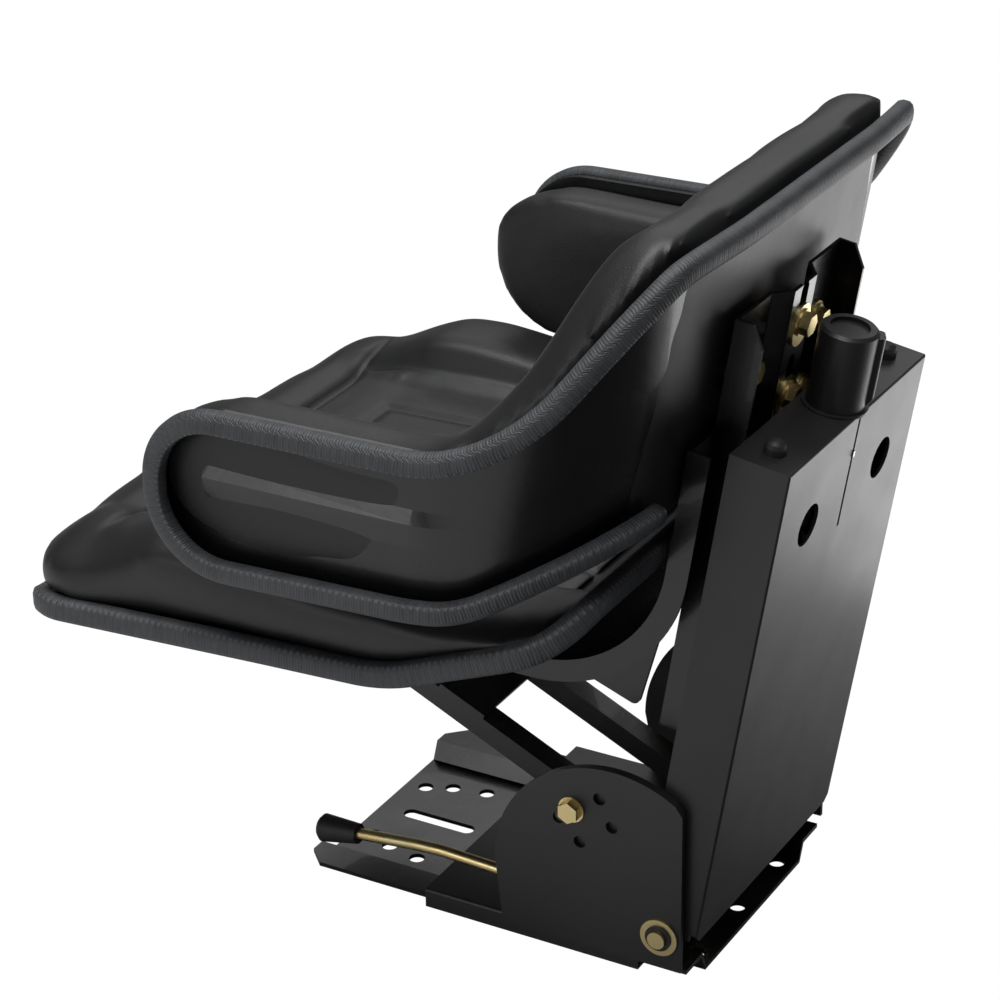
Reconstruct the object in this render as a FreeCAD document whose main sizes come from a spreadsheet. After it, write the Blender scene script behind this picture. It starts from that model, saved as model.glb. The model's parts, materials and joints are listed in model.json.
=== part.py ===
import FreeCAD, Part
import Sketcher
import math
import os
from FreeCAD import Placement, Rotation, Vector

# Tractor suspension seat.
# Frame: X runs to the sitter's left, Y to the rear, Z up.
# The origin is the middle rear bolt hole on the underside of the base plate.
# The suspension box, its carriage and the seat back lean back by the tilt angle about the pivot shaft.

doc = FreeCAD.newDocument("TractorSeat")
sheet = doc.addObject("Spreadsheet::Sheet", "Sizes")
sheet_rows = []


def size(alias, value):
    """Write one driving dimension into the sheet and hand it back as a number."""
    sheet_rows.append(alias)
    row = len(sheet_rows)
    sheet.set("A%d" % row, "'" + alias)
    sheet.set("B%d" % row, str(value))
    sheet.setAlias("B%d" % row, alias)
    return float(value)


# General fits
running_gap = size("running_gap", 0.05)
side_gap = size("side_gap", 0.5)
seat_gap = size("seat_gap", 0.3)

# Base plate
base_sheet = size("base_sheet", 3.0)
base_front = size("base_front", -279.0)
base_rear = size("base_rear", 12.0)
flat_half = size("flat_half", 74.0)
step_run = size("step_run", 6.0)
step_rise = size("step_rise", 13.0)
wing_half = size("wing_half", 102.5)
wing_corner = size("wing_corner", 14.0)
base_hole_radius = size("base_hole_radius", 5.5)
rear_hole_pitch = size("rear_hole_pitch", 62.6)
rear_hole_radius = size("rear_hole_radius", 5.5)
front_row_one = size("front_row_one", -264.0)
front_row_two = size("front_row_two", -246.0)
front_row_three = size("front_row_three", -221.0)
front_half_one = size("front_half_one", 36.0)
front_half_two = size("front_half_two", 44.0)
front_half_three = size("front_half_three", 49.0)
slot_front = size("slot_front", -260.0)
slot_rear = size("slot_rear", -204.0)
slot_radius = size("slot_radius", 5.5)

# Fore-and-aft slide
slide_sheet = size("slide_sheet", 2.5)
slide_half = size("slide_half", 108.0)
slide_front = size("slide_front", -179.0)
slide_rear = size("slide_rear", -20.0)
slide_top = size("slide_top", 24.0)
lip_width = size("lip_width", 14.0)
glide_width = size("glide_width", 14.0)
glide_length = size("glide_length", 40.0)
latch_pitch = size("latch_pitch", 15.0)
latch_slots = int(size("latch_slots", 11))
latch_across = size("latch_across", 92.0)
latch_thick = size("latch_thick", 5.0)
latch_tooth = size("latch_tooth", 7.0)

# Side plates and tilt plates
plate_sheet = size("plate_sheet", 3.0)
plate_centre_y = size("plate_centre_y", -38.0)
plate_centre_z = size("plate_centre_z", 68.5)
plate_radius = size("plate_radius", 85.5)
plate_rear = size("plate_rear", 12.0)
plate_bottom = size("plate_bottom", 19.0)
plate_corner = size("plate_corner", 5.0)
plate_foot_front = size("plate_foot_front", -118.0)
tilt_plate_sheet = size("tilt_plate_sheet", 4.0)
tilt_plate_bottom = size("tilt_plate_bottom", 29.0)
pivot_y = size("pivot_y", -3.1)
pivot_z = size("pivot_z", 42.5)
pivot_radius = size("pivot_radius", 6.0)
tilt = size("tilt_angle", 9.38)
tilt_forward = size("tilt_forward", 7.6)
tilt_back = size("tilt_back", 13.4)
vernier_outer = size("vernier_outer", 99.5)
vernier_inner = size("vernier_inner", 79.0)
vernier_angle = size("vernier_angle", 129.4)
vernier_hole_radius = size("vernier_hole_radius", 4.3)

# Bolts, washers and clips
bolt_radius = size("bolt_radius", 4.0)
bolt_head_across = size("bolt_head_across", 13.0)
bolt_head_high = size("bolt_head_high", 5.5)
bolt_flange_radius = size("bolt_flange_radius", 9.0)
bolt_flange_thick = size("bolt_flange_thick", 1.5)
washer_radius = size("washer_radius", 11.0)
washer_thick = size("washer_thick", 2.0)
nut_thick = size("nut_thick", 3.0)
pivot_washer_radius = size("pivot_washer_radius", 13.0)
pivot_washer_thick = size("pivot_washer_thick", 2.0)
clip_radius = size("clip_radius", 9.0)
clip_thick = size("clip_thick", 1.2)
shaft_overhang = size("shaft_overhang", 6.0)

# Lever
rod_radius = size("rod_radius", 4.0)
lever_pivot_y = size("lever_pivot_y", -50.0)
lever_pivot_z = size("lever_pivot_z", 36.0)
lever_pin_radius = size("lever_pin_radius", 3.0)
grip_length = size("grip_length", 30.0)
grip_big_radius = size("grip_big_radius", 10.0)
grip_small_radius = size("grip_small_radius", 7.0)

# Suspension box, in the leaning frame: x across, y to the rear, z along the box, zero at the pivot shaft
box_sheet = size("box_sheet", 2.5)
box_half = slide_half - tilt_plate_sheet - side_gap
box_rear = size("box_rear", 22.1)
box_depth = size("box_depth", 40.0)
box_bottom = size("box_bottom", -0.8)
box_top = size("box_top", 346.2)
view_hole_radius = size("view_hole_radius", 14.0)
view_hole_inset = size("view_hole_inset", 48.5)
view_hole_across = box_half - view_hole_inset
view_hole_up = size("view_hole_up", 291.5)
slit_width = size("slit_width", 3.0)
slit_bottom = size("slit_bottom", 266.0)
slit_top = size("slit_top", 343.0)
guide_sheet = size("guide_sheet", 2.5)
guide_depth = size("guide_depth", 18.0)
guide_bottom = size("guide_bottom", 20.0)
guide_top = size("guide_top", 340.0)
frame_gap = size("frame_gap", 5.0)
frame_half = box_half - box_sheet - guide_depth - frame_gap
bumper_inset = size("bumper_inset", 20.5)
bumper_across = box_half - bumper_inset
bumper_radius = size("bumper_radius", 7.0)

# Weight setting
knob_radius = size("knob_radius", 18.5)
knob_wing = size("knob_wing", 3.8)
knob_wing_wide = size("knob_wing_wide", 11.0)
knob_recess = size("knob_recess", 2.5)
knob_high = size("knob_high", 52.0)
knob_place_y = size("knob_place_y", 4.0)
spindle_radius = size("spindle_radius", 6.0)
spindle_bottom = size("spindle_bottom", 215.0)
damper_inset = size("damper_inset", 18.0)
damper_across = frame_half - damper_inset
damper_radius = size("damper_radius", 6.0)
damper_rod_radius = size("damper_rod_radius", 2.5)
anchor_up = size("anchor_up", 318.0)
anchor_travel = size("anchor_travel", 50.0)
anchor_high = size("anchor_high", 10.0)
anchor_half = size("anchor_half", 42.0)
spring_across = size("spring_across", 30.0)
spring_radius = size("spring_radius", 10.0)
spring_wire = size("spring_wire", 3.4)
spring_pitch = size("spring_pitch", 5.0)

# Sprung carriage
stroke = size("stroke", 60.0)
roller_radius = size("roller_radius", 12.0)
roller_width = size("roller_width", 12.0)
roller_place_y = size("roller_place_y", 2.0)
roller_low = size("roller_low", 125.0)
roller_high = size("roller_high", 285.0)
axle_radius = size("axle_radius", 5.0)
frame_sheet = size("frame_sheet", 2.5)
frame_face = size("frame_face", -14.0)
hat_sheet = size("hat_sheet", 2.5)
hat_half = size("hat_half", 75.5)
hat_land = size("hat_land", -40.7)
hat_web = size("hat_web", -28.9)
hat_edge = size("hat_edge", -20.6)
hat_web_half = size("hat_web_half", 15.0)
hat_land_inner = size("hat_land_inner", 28.0)
hat_top = size("hat_top", 417.0)
hat_bottom = size("hat_bottom", 128.0)
hat_bolt_across = size("hat_bolt_across", 48.0)
hat_bolt_low = size("hat_bolt_low", 321.0)
hat_bolt_high = size("hat_bolt_high", 373.0)
web_bolt_low = size("web_bolt_low", 341.0)
web_bolt_high = size("web_bolt_high", 391.0)
web_slot_rise = size("web_slot_rise", 22.0)
spacer_radius = size("spacer_radius", 8.0)
spacer_across = size("spacer_across", 46.0)
spacer_low = size("spacer_low", 150.0)
spacer_high = size("spacer_high", 262.0)

# Curved carrier
carrier_sheet = size("carrier_sheet", 2.5)
carrier_half = size("carrier_half", 105.0)
carrier_bend = size("carrier_bend", 95.0)
carrier_flange = size("carrier_flange", 15.0)
carrier_floor = size("carrier_floor", 219.0)
carrier_short = size("carrier_short", 24.8)
carrier_top = size("carrier_top", 400.0)

# Support arms
arm_across = size("arm_across", 40.0)
arm_wide = size("arm_wide", 18.0)
arm_deep = size("arm_deep", 15.0)
arm_sheet = size("arm_sheet", 2.0)
arm_angle = size("arm_angle", 25.1)
arm_length = size("arm_length", 300.0)
arm_pin_radius = size("arm_pin_radius", 5.0)
cross_plate_start = size("cross_plate_start", 184.0)
cross_plate_wide = size("cross_plate_wide", 37.0)
gusset_across = size("gusset_across", 60.0)
ear_across = size("ear_across", 54.0)
ear_sheet = size("ear_sheet", 3.0)

# Seat pan, cushion and their trim
pan_sheet = size("pan_sheet", 1.5)
pan_half = size("pan_half", 216.0)
pan_front = size("pan_front", -428.0)
pan_rear = size("pan_rear", -12.0)
pan_corner = size("pan_corner", 36.0)
pan_front_rise = size("pan_front_rise", 15.0)
pan_middle_rise = size("pan_middle_rise", 21.0)
pan_lip_drop = size("pan_lip_drop", 9.0)
pan_rear_rise = size("pan_rear_rise", 89.0)
cushion_rise = size("cushion_rise", 67.0)
insert_half = size("insert_half", 138.0)
insert_depth = size("insert_depth", 15.0)
insert_front = size("insert_front", -368.0)
trim_wide = size("trim_wide", 19.5)
trim_thick = size("trim_thick", 8.0)

# Wrap-around back
back_half = size("back_half", 243.0)
back_corner = size("back_corner", 120.0)
back_crease = size("back_crease", 88.0)
back_facet = size("back_facet", 3.0)
back_rim = size("back_rim", -34.0)
back_recess = size("back_recess", 14.0)
back_sheet = size("back_sheet", 1.5)
boss_radius = size("boss_radius", 15.0)
back_top = size("back_top", 526.0)
arm_tip = size("arm_tip", -285.0)
arm_rim_top = size("arm_rim_top", 411.0)
arm_rim_bottom = size("arm_rim_bottom", 301.5)
arm_tip_radius = size("arm_tip_radius", 50.0)
elbow_radius = size("elbow_radius", 120.0)
back_low = size("back_low", 357.0)
pad_thick = size("pad_thick", 42.0)
pad_crown = size("pad_crown", 8.0)
pad_under = size("pad_under", 6.0)
bead_low = size("bead_low", 346.0)
bead_crest = size("bead_crest", 363.0)
bead_high = size("bead_high", 372.0)
bead_proud = size("bead_proud", 4.0)
bead_front = size("bead_front", -252.0)
bead_rear = size("bead_rear", -78.0)

doc.recompute()

lean = Placement(Vector(0, pivot_y, pivot_z), Rotation(Vector(1, 0, 0), -tilt))
tilt_sin = math.sin(math.radians(tilt))
tilt_cos = math.cos(math.radians(tilt))


def leaning(x, y, z):
    """Turn a point of the leaning frame into the seat's frame."""
    return lean.multVec(Vector(x, y, z))


nodes = []


def keep(thing, label):
    """Name one sub-part and list it for export."""
    thing.Label = label
    nodes.append(thing)
    return thing


def bound(thing, **expressions):
    """Bind properties of an object to expressions in the sheet's words."""
    for name, text in expressions.items():
        thing.setExpression(name, text.replace("$", "Sizes."))
    return thing


def feature(label, shape, placement=None):
    """A sub-part whose shape comes from Part's own functions."""
    thing = doc.addObject("Part::Feature", label)
    thing.Shape = shape
    if placement is not None:
        thing.Placement = placement
    return keep(thing, label)


def new_body(label, placement=None):
    body = doc.addObject("PartDesign::Body", label)
    if placement is not None:
        body.Placement = placement
    return keep(body, label)


def new_sketch(body, plane, offset=None):
    """A sketch on one of the body's own origin planes, raised by an expression where one is given."""
    sketch = body.newObject("Sketcher::SketchObject", "Profile")
    origin_plane = [item for item in body.Origin.OriginFeatures if item.Role == plane][0]
    sketch.AttachmentSupport = [(origin_plane, "")]
    sketch.MapMode = "FlatFace"
    if offset is not None:
        sketch.setExpression("AttachmentOffset.Base.z", offset.replace("$", "Sizes."))
    return sketch


def draw_outline(sketch, points):
    """A closed outline whose corners are tied to the sheet by their distances from the origin."""
    texts = [(u.replace("$", "Sizes."), v.replace("$", "Sizes.")) for u, v in points]
    places = [Vector(sheet.evalExpression(u), sheet.evalExpression(v), 0) for u, v in texts]
    first = sketch.GeometryCount
    count = len(places)
    for index in range(count):
        sketch.addGeometry(Part.LineSegment(places[index], places[(index + 1) % count]), False)
    for index in range(count):
        following = (index + 1) % count
        sketch.addConstraint(Sketcher.Constraint("Coincident", first + index, 2, first + following, 1))
    for index, (u, v) in enumerate(texts):
        for kind, text, value in (("DistanceX", u, places[index].x), ("DistanceY", v, places[index].y)):
            number = sketch.addConstraint(Sketcher.Constraint(kind, -1, 1, first + index, 1, value))
            sketch.setExpression("Constraints[%d]" % number, text)


def draw_circle(sketch, u, v, radius):
    """A circle tied to the sheet by its centre and radius."""
    u, v, radius = (text.replace("$", "Sizes.") for text in (u, v, radius))
    place = Vector(sheet.evalExpression(u), sheet.evalExpression(v), 0)
    circle = sketch.addGeometry(Part.Circle(place, Vector(0, 0, 1), sheet.evalExpression(radius)), False)
    for kind, text, value in (("DistanceX", u, place.x), ("DistanceY", v, place.y)):
        number = sketch.addConstraint(Sketcher.Constraint(kind, -1, 1, circle, 3, value))
        sketch.setExpression("Constraints[%d]" % number, text)
    number = sketch.addConstraint(Sketcher.Constraint("Radius", circle, sheet.evalExpression(radius)))
    sketch.setExpression("Constraints[%d]" % number, radius)


def draw_edges(sketch, edges):
    """Lines and arcs worked out beforehand."""
    for edge in edges:
        sketch.addGeometry(edge, False)


def pad(body, sketch, length, symmetric=False, reverse=False):
    thing = body.newObject("PartDesign::Pad", "Pad")
    thing.Profile = sketch
    thing.setExpression("Length", length.replace("$", "Sizes."))
    if symmetric:
        thing.SideType = "Symmetric"
    thing.Reversed = reverse
    body.Tip = thing
    return thing


def pocket_through(body, sketch):
    """A pocket both ways through the whole body, which has to take some material away."""
    doc.recompute()
    before = body.Shape.Volume
    thing = body.newObject("PartDesign::Pocket", "Pocket")
    thing.Profile = sketch
    thing.SideType = "Symmetric"
    thing.Type = 1
    body.Tip = thing
    doc.recompute()
    if not body.Shape.Volume < before - 0.001:
        raise RuntimeError(body.Label + ": a pocket cuts nothing")
    return thing


def round_edges(body, places, axis, radius, plane):
    """Fillet the straight edges along axis that pass through the given profile corners."""
    doc.recompute()
    bent = body.Tip
    solid = bent.Shape
    names = []
    for number, edge in enumerate(solid.Edges, 1):
        if edge.Curve.TypeId != "Part::GeomLine":
            continue
        start = edge.Vertexes[0].Point
        span = edge.Vertexes[-1].Point - start
        if abs(abs(span.normalize().dot(axis)) - 1) > 1e-6:
            continue
        flat = {"XZ": (start.x, start.z), "YZ": (start.y, start.z), "XY": (start.x, start.y)}[plane]
        for u, v in places:
            if abs(flat[0] - u) < 1e-3 and abs(flat[1] - v) < 1e-3:
                names.append("Edge%d" % number)
    thing = body.newObject("PartDesign::Fillet", "Bend")
    thing.Base = (bent, names)
    thing.setExpression("Radius", radius.replace("$", "Sizes."))
    body.Tip = thing
    return thing


def cylinder(radius, height, base, direction=Vector(0, 0, 1), name="Cylinder"):
    """A round bar bound to the sheet, standing on base along direction."""
    thing = doc.addObject("Part::Cylinder", name)
    bound(thing, Radius=radius, Height=height)
    thing.Placement = Placement(base, Rotation(Vector(0, 0, 1), direction))
    return thing


def block(low, high):
    """A plain block between two corners."""
    return Part.makeBox(high[0] - low[0], high[1] - low[1], high[2] - low[2], Vector(*low))


def ring(outer, inner, thick, base, direction):
    """A plain washer standing on base along direction."""
    return Part.makeCylinder(outer, thick, base, direction).cut(Part.makeCylinder(inner, thick, base, direction))


def join(shapes):
    """Fuse shapes and drop the seams between them."""
    whole = shapes[0]
    if len(shapes) > 1:
        whole = shapes[0].multiFuse(shapes[1:])
    return whole.removeSplitter()


def outline(corners, plane, level=0.0):
    """A closed wire from corners (u, v, radius), every corner rounded by its radius."""
    count = len(corners)
    runs = []
    for index, (u, v, radius) in enumerate(corners):
        here = Vector(u, v, 0)
        before = Vector(*corners[index - 1][:2], 0)
        after = Vector(*corners[(index + 1) % count][:2], 0)
        back = (before - here).normalize()
        ahead = (after - here).normalize()
        half = back.getAngle(ahead) / 2
        if radius <= 0 or abs(half - math.pi / 2) < 1e-6:
            runs.append((here, here, here))
            continue
        reach = radius / math.tan(half)
        middle = here + (back + ahead).normalize() * (radius / math.sin(half) - radius)
        runs.append((here + back * reach, middle, here + ahead * reach))
    frames = {
        "XY": lambda p: Vector(p.x, p.y, level),
        "YZ": lambda p: Vector(level, p.x, p.y),
        "XZ": lambda p: Vector(p.x, level, p.y),
    }
    place = frames[plane]
    edges = []
    for index, (start, middle, end) in enumerate(runs):
        if (end - start).Length > 1e-6:
            edges.append(Part.Arc(place(start), place(middle), place(end)).toShape())
        following = runs[(index + 1) % count][0]
        if (following - end).Length > 1e-6:
            edges.append(Part.LineSegment(place(end), place(following)).toShape())
    return Part.Wire(edges)


def prism(wire, way):
    """A solid swept straight from a closed flat wire."""
    return Part.Face(wire).extrude(way)


x_axis = Vector(1, 0, 0)
y_axis = Vector(0, 1, 0)
z_axis = Vector(0, 0, 1)

# Base plate: one sheet, flat in the middle, with wings stepped up on both sides
base = new_body("base_plate")
profile = new_sketch(base, "XZ_Plane", "-$base_rear")
draw_outline(profile, [
    ("-$flat_half", "0"),
    ("$flat_half", "0"),
    ("$flat_half + $step_run", "$step_rise"),
    ("$wing_half", "$step_rise"),
    ("$wing_half", "$step_rise + $base_sheet"),
    ("$flat_half + $step_run - 1.5", "$step_rise + $base_sheet"),
    ("$flat_half - 1.5", "$base_sheet"),
    ("1.5 - $flat_half", "$base_sheet"),
    ("1.5 - $flat_half - $step_run", "$step_rise + $base_sheet"),
    ("-$wing_half", "$step_rise + $base_sheet"),
    ("-$wing_half", "$step_rise"),
    ("-$flat_half - $step_run", "$step_rise"),
])
pad(base, profile, "$base_rear - $base_front")
holes = new_sketch(base, "XY_Plane")
for side in ("", "-"):
    for half, row in (("one", "one"), ("two", "two"), ("three", "three")):
        draw_circle(holes, side + "$front_half_" + half, "$front_row_" + row, "$base_hole_radius")
    draw_circle(holes, side + "$rear_hole_pitch", "0", "$rear_hole_radius")
draw_circle(holes, "0", "0", "$rear_hole_radius")
pocket_through(base, holes)
slot = new_sketch(base, "XY_Plane")
front_centre = slot_front + slot_radius
rear_centre = slot_rear - slot_radius
draw_edges(slot, [
    Part.LineSegment(Vector(slot_radius, front_centre, 0), Vector(slot_radius, rear_centre, 0)),
    Part.Arc(Vector(slot_radius, rear_centre, 0), Vector(0, slot_rear, 0), Vector(-slot_radius, rear_centre, 0)),
    Part.LineSegment(Vector(-slot_radius, rear_centre, 0), Vector(-slot_radius, front_centre, 0)),
    Part.Arc(Vector(-slot_radius, front_centre, 0), Vector(0, slot_front, 0), Vector(slot_radius, front_centre, 0)),
])
pocket_through(base, slot)
corners = new_sketch(base, "XY_Plane")
for side in ("", "-"):
    draw_outline(corners, [
        (side + "($wing_half + 1)", "$base_front - 1"),
        (side + "($wing_half + 1)", "$base_front + $wing_corner"),
        (side + "($wing_half - $wing_corner)", "$base_front - 1"),
    ])
pocket_through(base, corners)
latch_holes = new_sketch(base, "XY_Plane")
latch_rest_y = lever_pivot_y - 45
for index in range(latch_slots):
    middle = "%g + %g * $latch_pitch" % (latch_rest_y, index - 5)
    draw_outline(latch_holes, [
        ("$latch_across - $latch_thick / 2 - 1", middle + " - $latch_tooth / 2 - 1.5"),
        ("$latch_across + $latch_thick / 2 + 1", middle + " - $latch_tooth / 2 - 1.5"),
        ("$latch_across + $latch_thick / 2 + 1", middle + " + $latch_tooth / 2 + 1.5"),
        ("$latch_across - $latch_thick / 2 - 1", middle + " + $latch_tooth / 2 + 1.5"),
    ])
pocket_through(base, latch_holes)

# Upper slide: a sheet folded down and under the wings
wing_top = step_rise + base_sheet
slide = new_body("upper_slide")
profile = new_sketch(slide, "XZ_Plane", "-$slide_rear")
lip_top = "$step_rise - $seat_gap"
draw_outline(profile, [
    ("-$slide_half", "$slide_top"),
    ("-$slide_half", lip_top + " - $slide_sheet"),
    ("$lip_width - $slide_half", lip_top + " - $slide_sheet"),
    ("$lip_width - $slide_half", lip_top),
    ("$slide_sheet - $slide_half", lip_top),
    ("$slide_sheet - $slide_half", "$slide_top - $slide_sheet"),
    ("$slide_half - $slide_sheet", "$slide_top - $slide_sheet"),
    ("$slide_half - $slide_sheet", lip_top),
    ("$slide_half - $lip_width", lip_top),
    ("$slide_half - $lip_width", lip_top + " - $slide_sheet"),
    ("$slide_half", lip_top + " - $slide_sheet"),
    ("$slide_half", "$slide_top"),
])
pad(slide, profile, "$slide_rear - $slide_front")
round_edges(slide, [(-slide_half, slide_top), (slide_half, slide_top)], y_axis, "$slide_sheet", "XZ")
window = new_sketch(slide, "XY_Plane")
draw_outline(window, [
    ("$latch_across - $latch_thick / 2 - 1", "%g - $latch_tooth / 2 - 4" % latch_rest_y),
    ("$latch_across + $latch_thick / 2 + 1", "%g - $latch_tooth / 2 - 4" % latch_rest_y),
    ("$latch_across + $latch_thick / 2 + 1", "%g + $latch_tooth / 2 + 4" % latch_rest_y),
    ("$latch_across - $latch_thick / 2 - 1", "%g + $latch_tooth / 2 + 4" % latch_rest_y),
])
pocket_through(slide, window)

# Glide strips: plastic pads under the slide that ride on the wings
glide_high = slide_top - slide_sheet - wing_top - seat_gap
glides = []
for side in (1, -1):
    for place in (slide_front + 8, slide_rear - 8 - glide_length):
        middle = side * (wing_half - 1 - glide_width / 2)
        low = (middle - glide_width / 2, place, wing_top + seat_gap)
        high = (middle + glide_width / 2, place + glide_length, slide_top - slide_sheet)
        glides.append(block(low, high))
feature("glide_strips", Part.Compound(glides))


def vernier(radius, angle):
    """A point at radius and angle about the pivot shaft, in the side view."""
    turn = math.radians(angle)
    return pivot_y + radius * math.cos(turn), pivot_z + radius * math.sin(turn)


def side_plate(label, start):
    """A D-shaped plate welded to the side of the slide."""
    body = new_body(label)
    sketch = new_sketch(body, "YZ_Plane", start)
    corner_y = plate_rear - plate_corner
    rise = math.sqrt(plate_radius ** 2 - (corner_y - plate_centre_y) ** 2)
    crown_end = Vector(corner_y, plate_centre_z + rise, 0)
    rear_top = Vector(plate_rear, plate_centre_z + rise - 1.4 * plate_corner, 0)
    front = Vector(plate_centre_y - plate_radius, plate_centre_z, 0)
    turn = math.radians(115)
    crown = Vector(plate_centre_y + plate_radius * math.cos(turn), plate_centre_z + plate_radius * math.sin(turn), 0)
    foot = Vector(plate_foot_front, plate_bottom, 0)
    heel = Vector(plate_rear, plate_bottom, 0)
    draw_edges(sketch, [
        Part.Arc(crown_end, crown, front),
        Part.LineSegment(front, foot),
        Part.LineSegment(foot, heel),
        Part.LineSegment(heel, rear_top),
        Part.LineSegment(rear_top, crown_end),
    ])
    pad(body, sketch, "$plate_sheet")
    drill = new_sketch(body, "YZ_Plane")
    draw_circle(drill, "$pivot_y", "$pivot_z", "$pivot_radius + $running_gap")
    for radius, angle in ((vernier_outer, 116), (vernier_outer, vernier_angle), (vernier_outer, 137),
                          (vernier_inner, 116), (vernier_inner, 137)):
        y, z = vernier(radius, angle)
        draw_circle(drill, "%.4f" % y, "%.4f" % z, "$vernier_hole_radius")
    pocket_through(body, drill)
    return body


side_plate("side_plate_left", "$slide_half")
side_plate("side_plate_right", "-$slide_half - $plate_sheet")


def tilt_plate(label, side):
    """A plate welded to the box side, with an arc slot for the tilt bolt."""
    inner = box_half if side > 0 else -box_half - tilt_plate_sheet
    slope = math.tan(math.radians(tilt_forward + 2))
    front_y = plate_centre_y - plate_radius + 1
    crown_turn = math.radians(115)
    radius = plate_radius - 1
    crown = Vector(inner, plate_centre_y + radius * math.cos(crown_turn), plate_centre_z + radius * math.sin(crown_turn))
    corner_y = plate_rear - 2 - plate_corner
    rise = math.sqrt(radius ** 2 - (corner_y - plate_centre_y) ** 2)
    crown_end = Vector(inner, corner_y, plate_centre_z + rise)
    rear_top = Vector(inner, plate_rear - 2, plate_centre_z + rise - 1.4 * plate_corner)
    front = Vector(inner, front_y, plate_centre_z)
    foot = Vector(inner, front_y + 4, tilt_plate_bottom + slope * (pivot_y - front_y))
    heel = Vector(inner, pivot_y, tilt_plate_bottom)
    rear_low = Vector(inner, plate_rear - 2, tilt_plate_bottom + 6)
    wire = Part.Wire([
        Part.Arc(crown_end, crown, front).toShape(),
        Part.LineSegment(front, foot).toShape(),
        Part.LineSegment(foot, heel).toShape(),
        Part.LineSegment(heel, rear_low).toShape(),
        Part.LineSegment(rear_low, rear_top).toShape(),
        Part.LineSegment(rear_top, crown_end).toShape(),
    ])
    plate = prism(wire, Vector(tilt_plate_sheet, 0, 0))
    through = Vector(tilt_plate_sheet + 2, 0, 0)
    centre = Vector(inner - 1, pivot_y, pivot_z)
    shaft_hole = Part.makeCylinder(pivot_radius + running_gap, through.x, centre, x_axis)
    half_wide = bolt_radius + seat_gap
    low_turn = vernier_angle - tilt_forward
    high_turn = vernier_angle + tilt_back
    tools = [shaft_hole]
    band = Part.makeCylinder(vernier_outer + half_wide, through.x, centre, x_axis)
    band = band.cut(Part.makeCylinder(vernier_outer - half_wide, through.x, centre, x_axis))
    reach = vernier_outer * 1.4
    wedge_points = [centre]
    for turn in (low_turn, (low_turn + high_turn) / 2, high_turn):
        wedge_points.append(centre + Vector(0, math.cos(math.radians(turn)), math.sin(math.radians(turn))) * reach)
    wedge = prism(Part.makePolygon(wedge_points + [centre]), through)
    tools.append(band.common(wedge))
    for turn in (low_turn, high_turn):
        y, z = vernier(vernier_outer, turn)
        tools.append(Part.makeCylinder(half_wide, through.x, Vector(inner - 1, y, z), x_axis))
    return feature(label, plate.cut(join(tools)))


tilt_plate("tilt_plate_left", 1)
tilt_plate("tilt_plate_right", -1)

# Pivot shaft with its washers and clips
shaft_half = slide_half + plate_sheet + shaft_overhang
shaft = cylinder("$pivot_radius", "2 * ($slide_half + $plate_sheet + $shaft_overhang)",
                 Vector(-shaft_half, pivot_y, pivot_z), x_axis)
keep(shaft, "pivot_shaft")
washers = []
clips = []
for side in (1, -1):
    face = Vector(side * (slide_half + plate_sheet), pivot_y, pivot_z)
    washers.append(ring(pivot_washer_radius, pivot_radius + running_gap, pivot_washer_thick, face, x_axis * side))
    clip_face = face + x_axis * side * pivot_washer_thick
    clips.append(ring(clip_radius, pivot_radius + running_gap, clip_thick, clip_face, x_axis * side))
feature("pivot_washers", Part.Compound(washers))
feature("pivot_clips", Part.Compound(clips))


def hexagon(across, high, base, direction):
    """A hexagon bar standing on base along direction."""
    corner = across / math.sqrt(3)
    points = [Vector(corner * math.cos(math.radians(60 * turn)), corner * math.sin(math.radians(60 * turn)), 0)
              for turn in range(7)]
    shape = prism(Part.makePolygon(points), Vector(0, 0, high))
    shape.Placement = Placement(base, Rotation(z_axis, direction))
    return shape


def flange_bolt(base, direction, length):
    """A flange bolt whose head sits on base and whose shank runs against direction."""
    flange = Part.makeCylinder(bolt_flange_radius, bolt_flange_thick, base, direction)
    head = hexagon(bolt_head_across, bolt_head_high, base + direction * bolt_flange_thick, direction)
    shank = Part.makeCylinder(bolt_radius, length, base, direction * -1)
    return join([flange, head, shank])


def flange_nut(base, direction):
    """A flange nut seated on base, bored for the bolt."""
    flange = Part.makeCylinder(bolt_flange_radius, bolt_flange_thick, base, direction)
    head = hexagon(bolt_head_across, bolt_head_high, base + direction * bolt_flange_thick, direction)
    hole = Part.makeCylinder(bolt_radius + running_gap, bolt_head_high + bolt_flange_thick, base, direction)
    return join([flange, head]).cut(hole)


# Tilt bolts through the side plates and the arc slots of the tilt plates
tilt_bolts = []
for side in (1, -1):
    y, z = vernier(vernier_outer, vernier_angle)
    face = Vector(side * (slide_half + plate_sheet), y, z)
    tilt_bolts.append(flange_bolt(face, x_axis * side, plate_sheet + side_gap + tilt_plate_sheet + 12))
feature("tilt_bolts", Part.Compound(tilt_bolts))
tilt_nuts = []
for side in (1, -1):
    y, z = vernier(vernier_outer, vernier_angle)
    face = Vector(side * (box_half - side_gap), y, z)
    tilt_nuts.append(flange_nut(face, x_axis * -side))
feature("tilt_nuts", Part.Compound(tilt_nuts))

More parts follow.
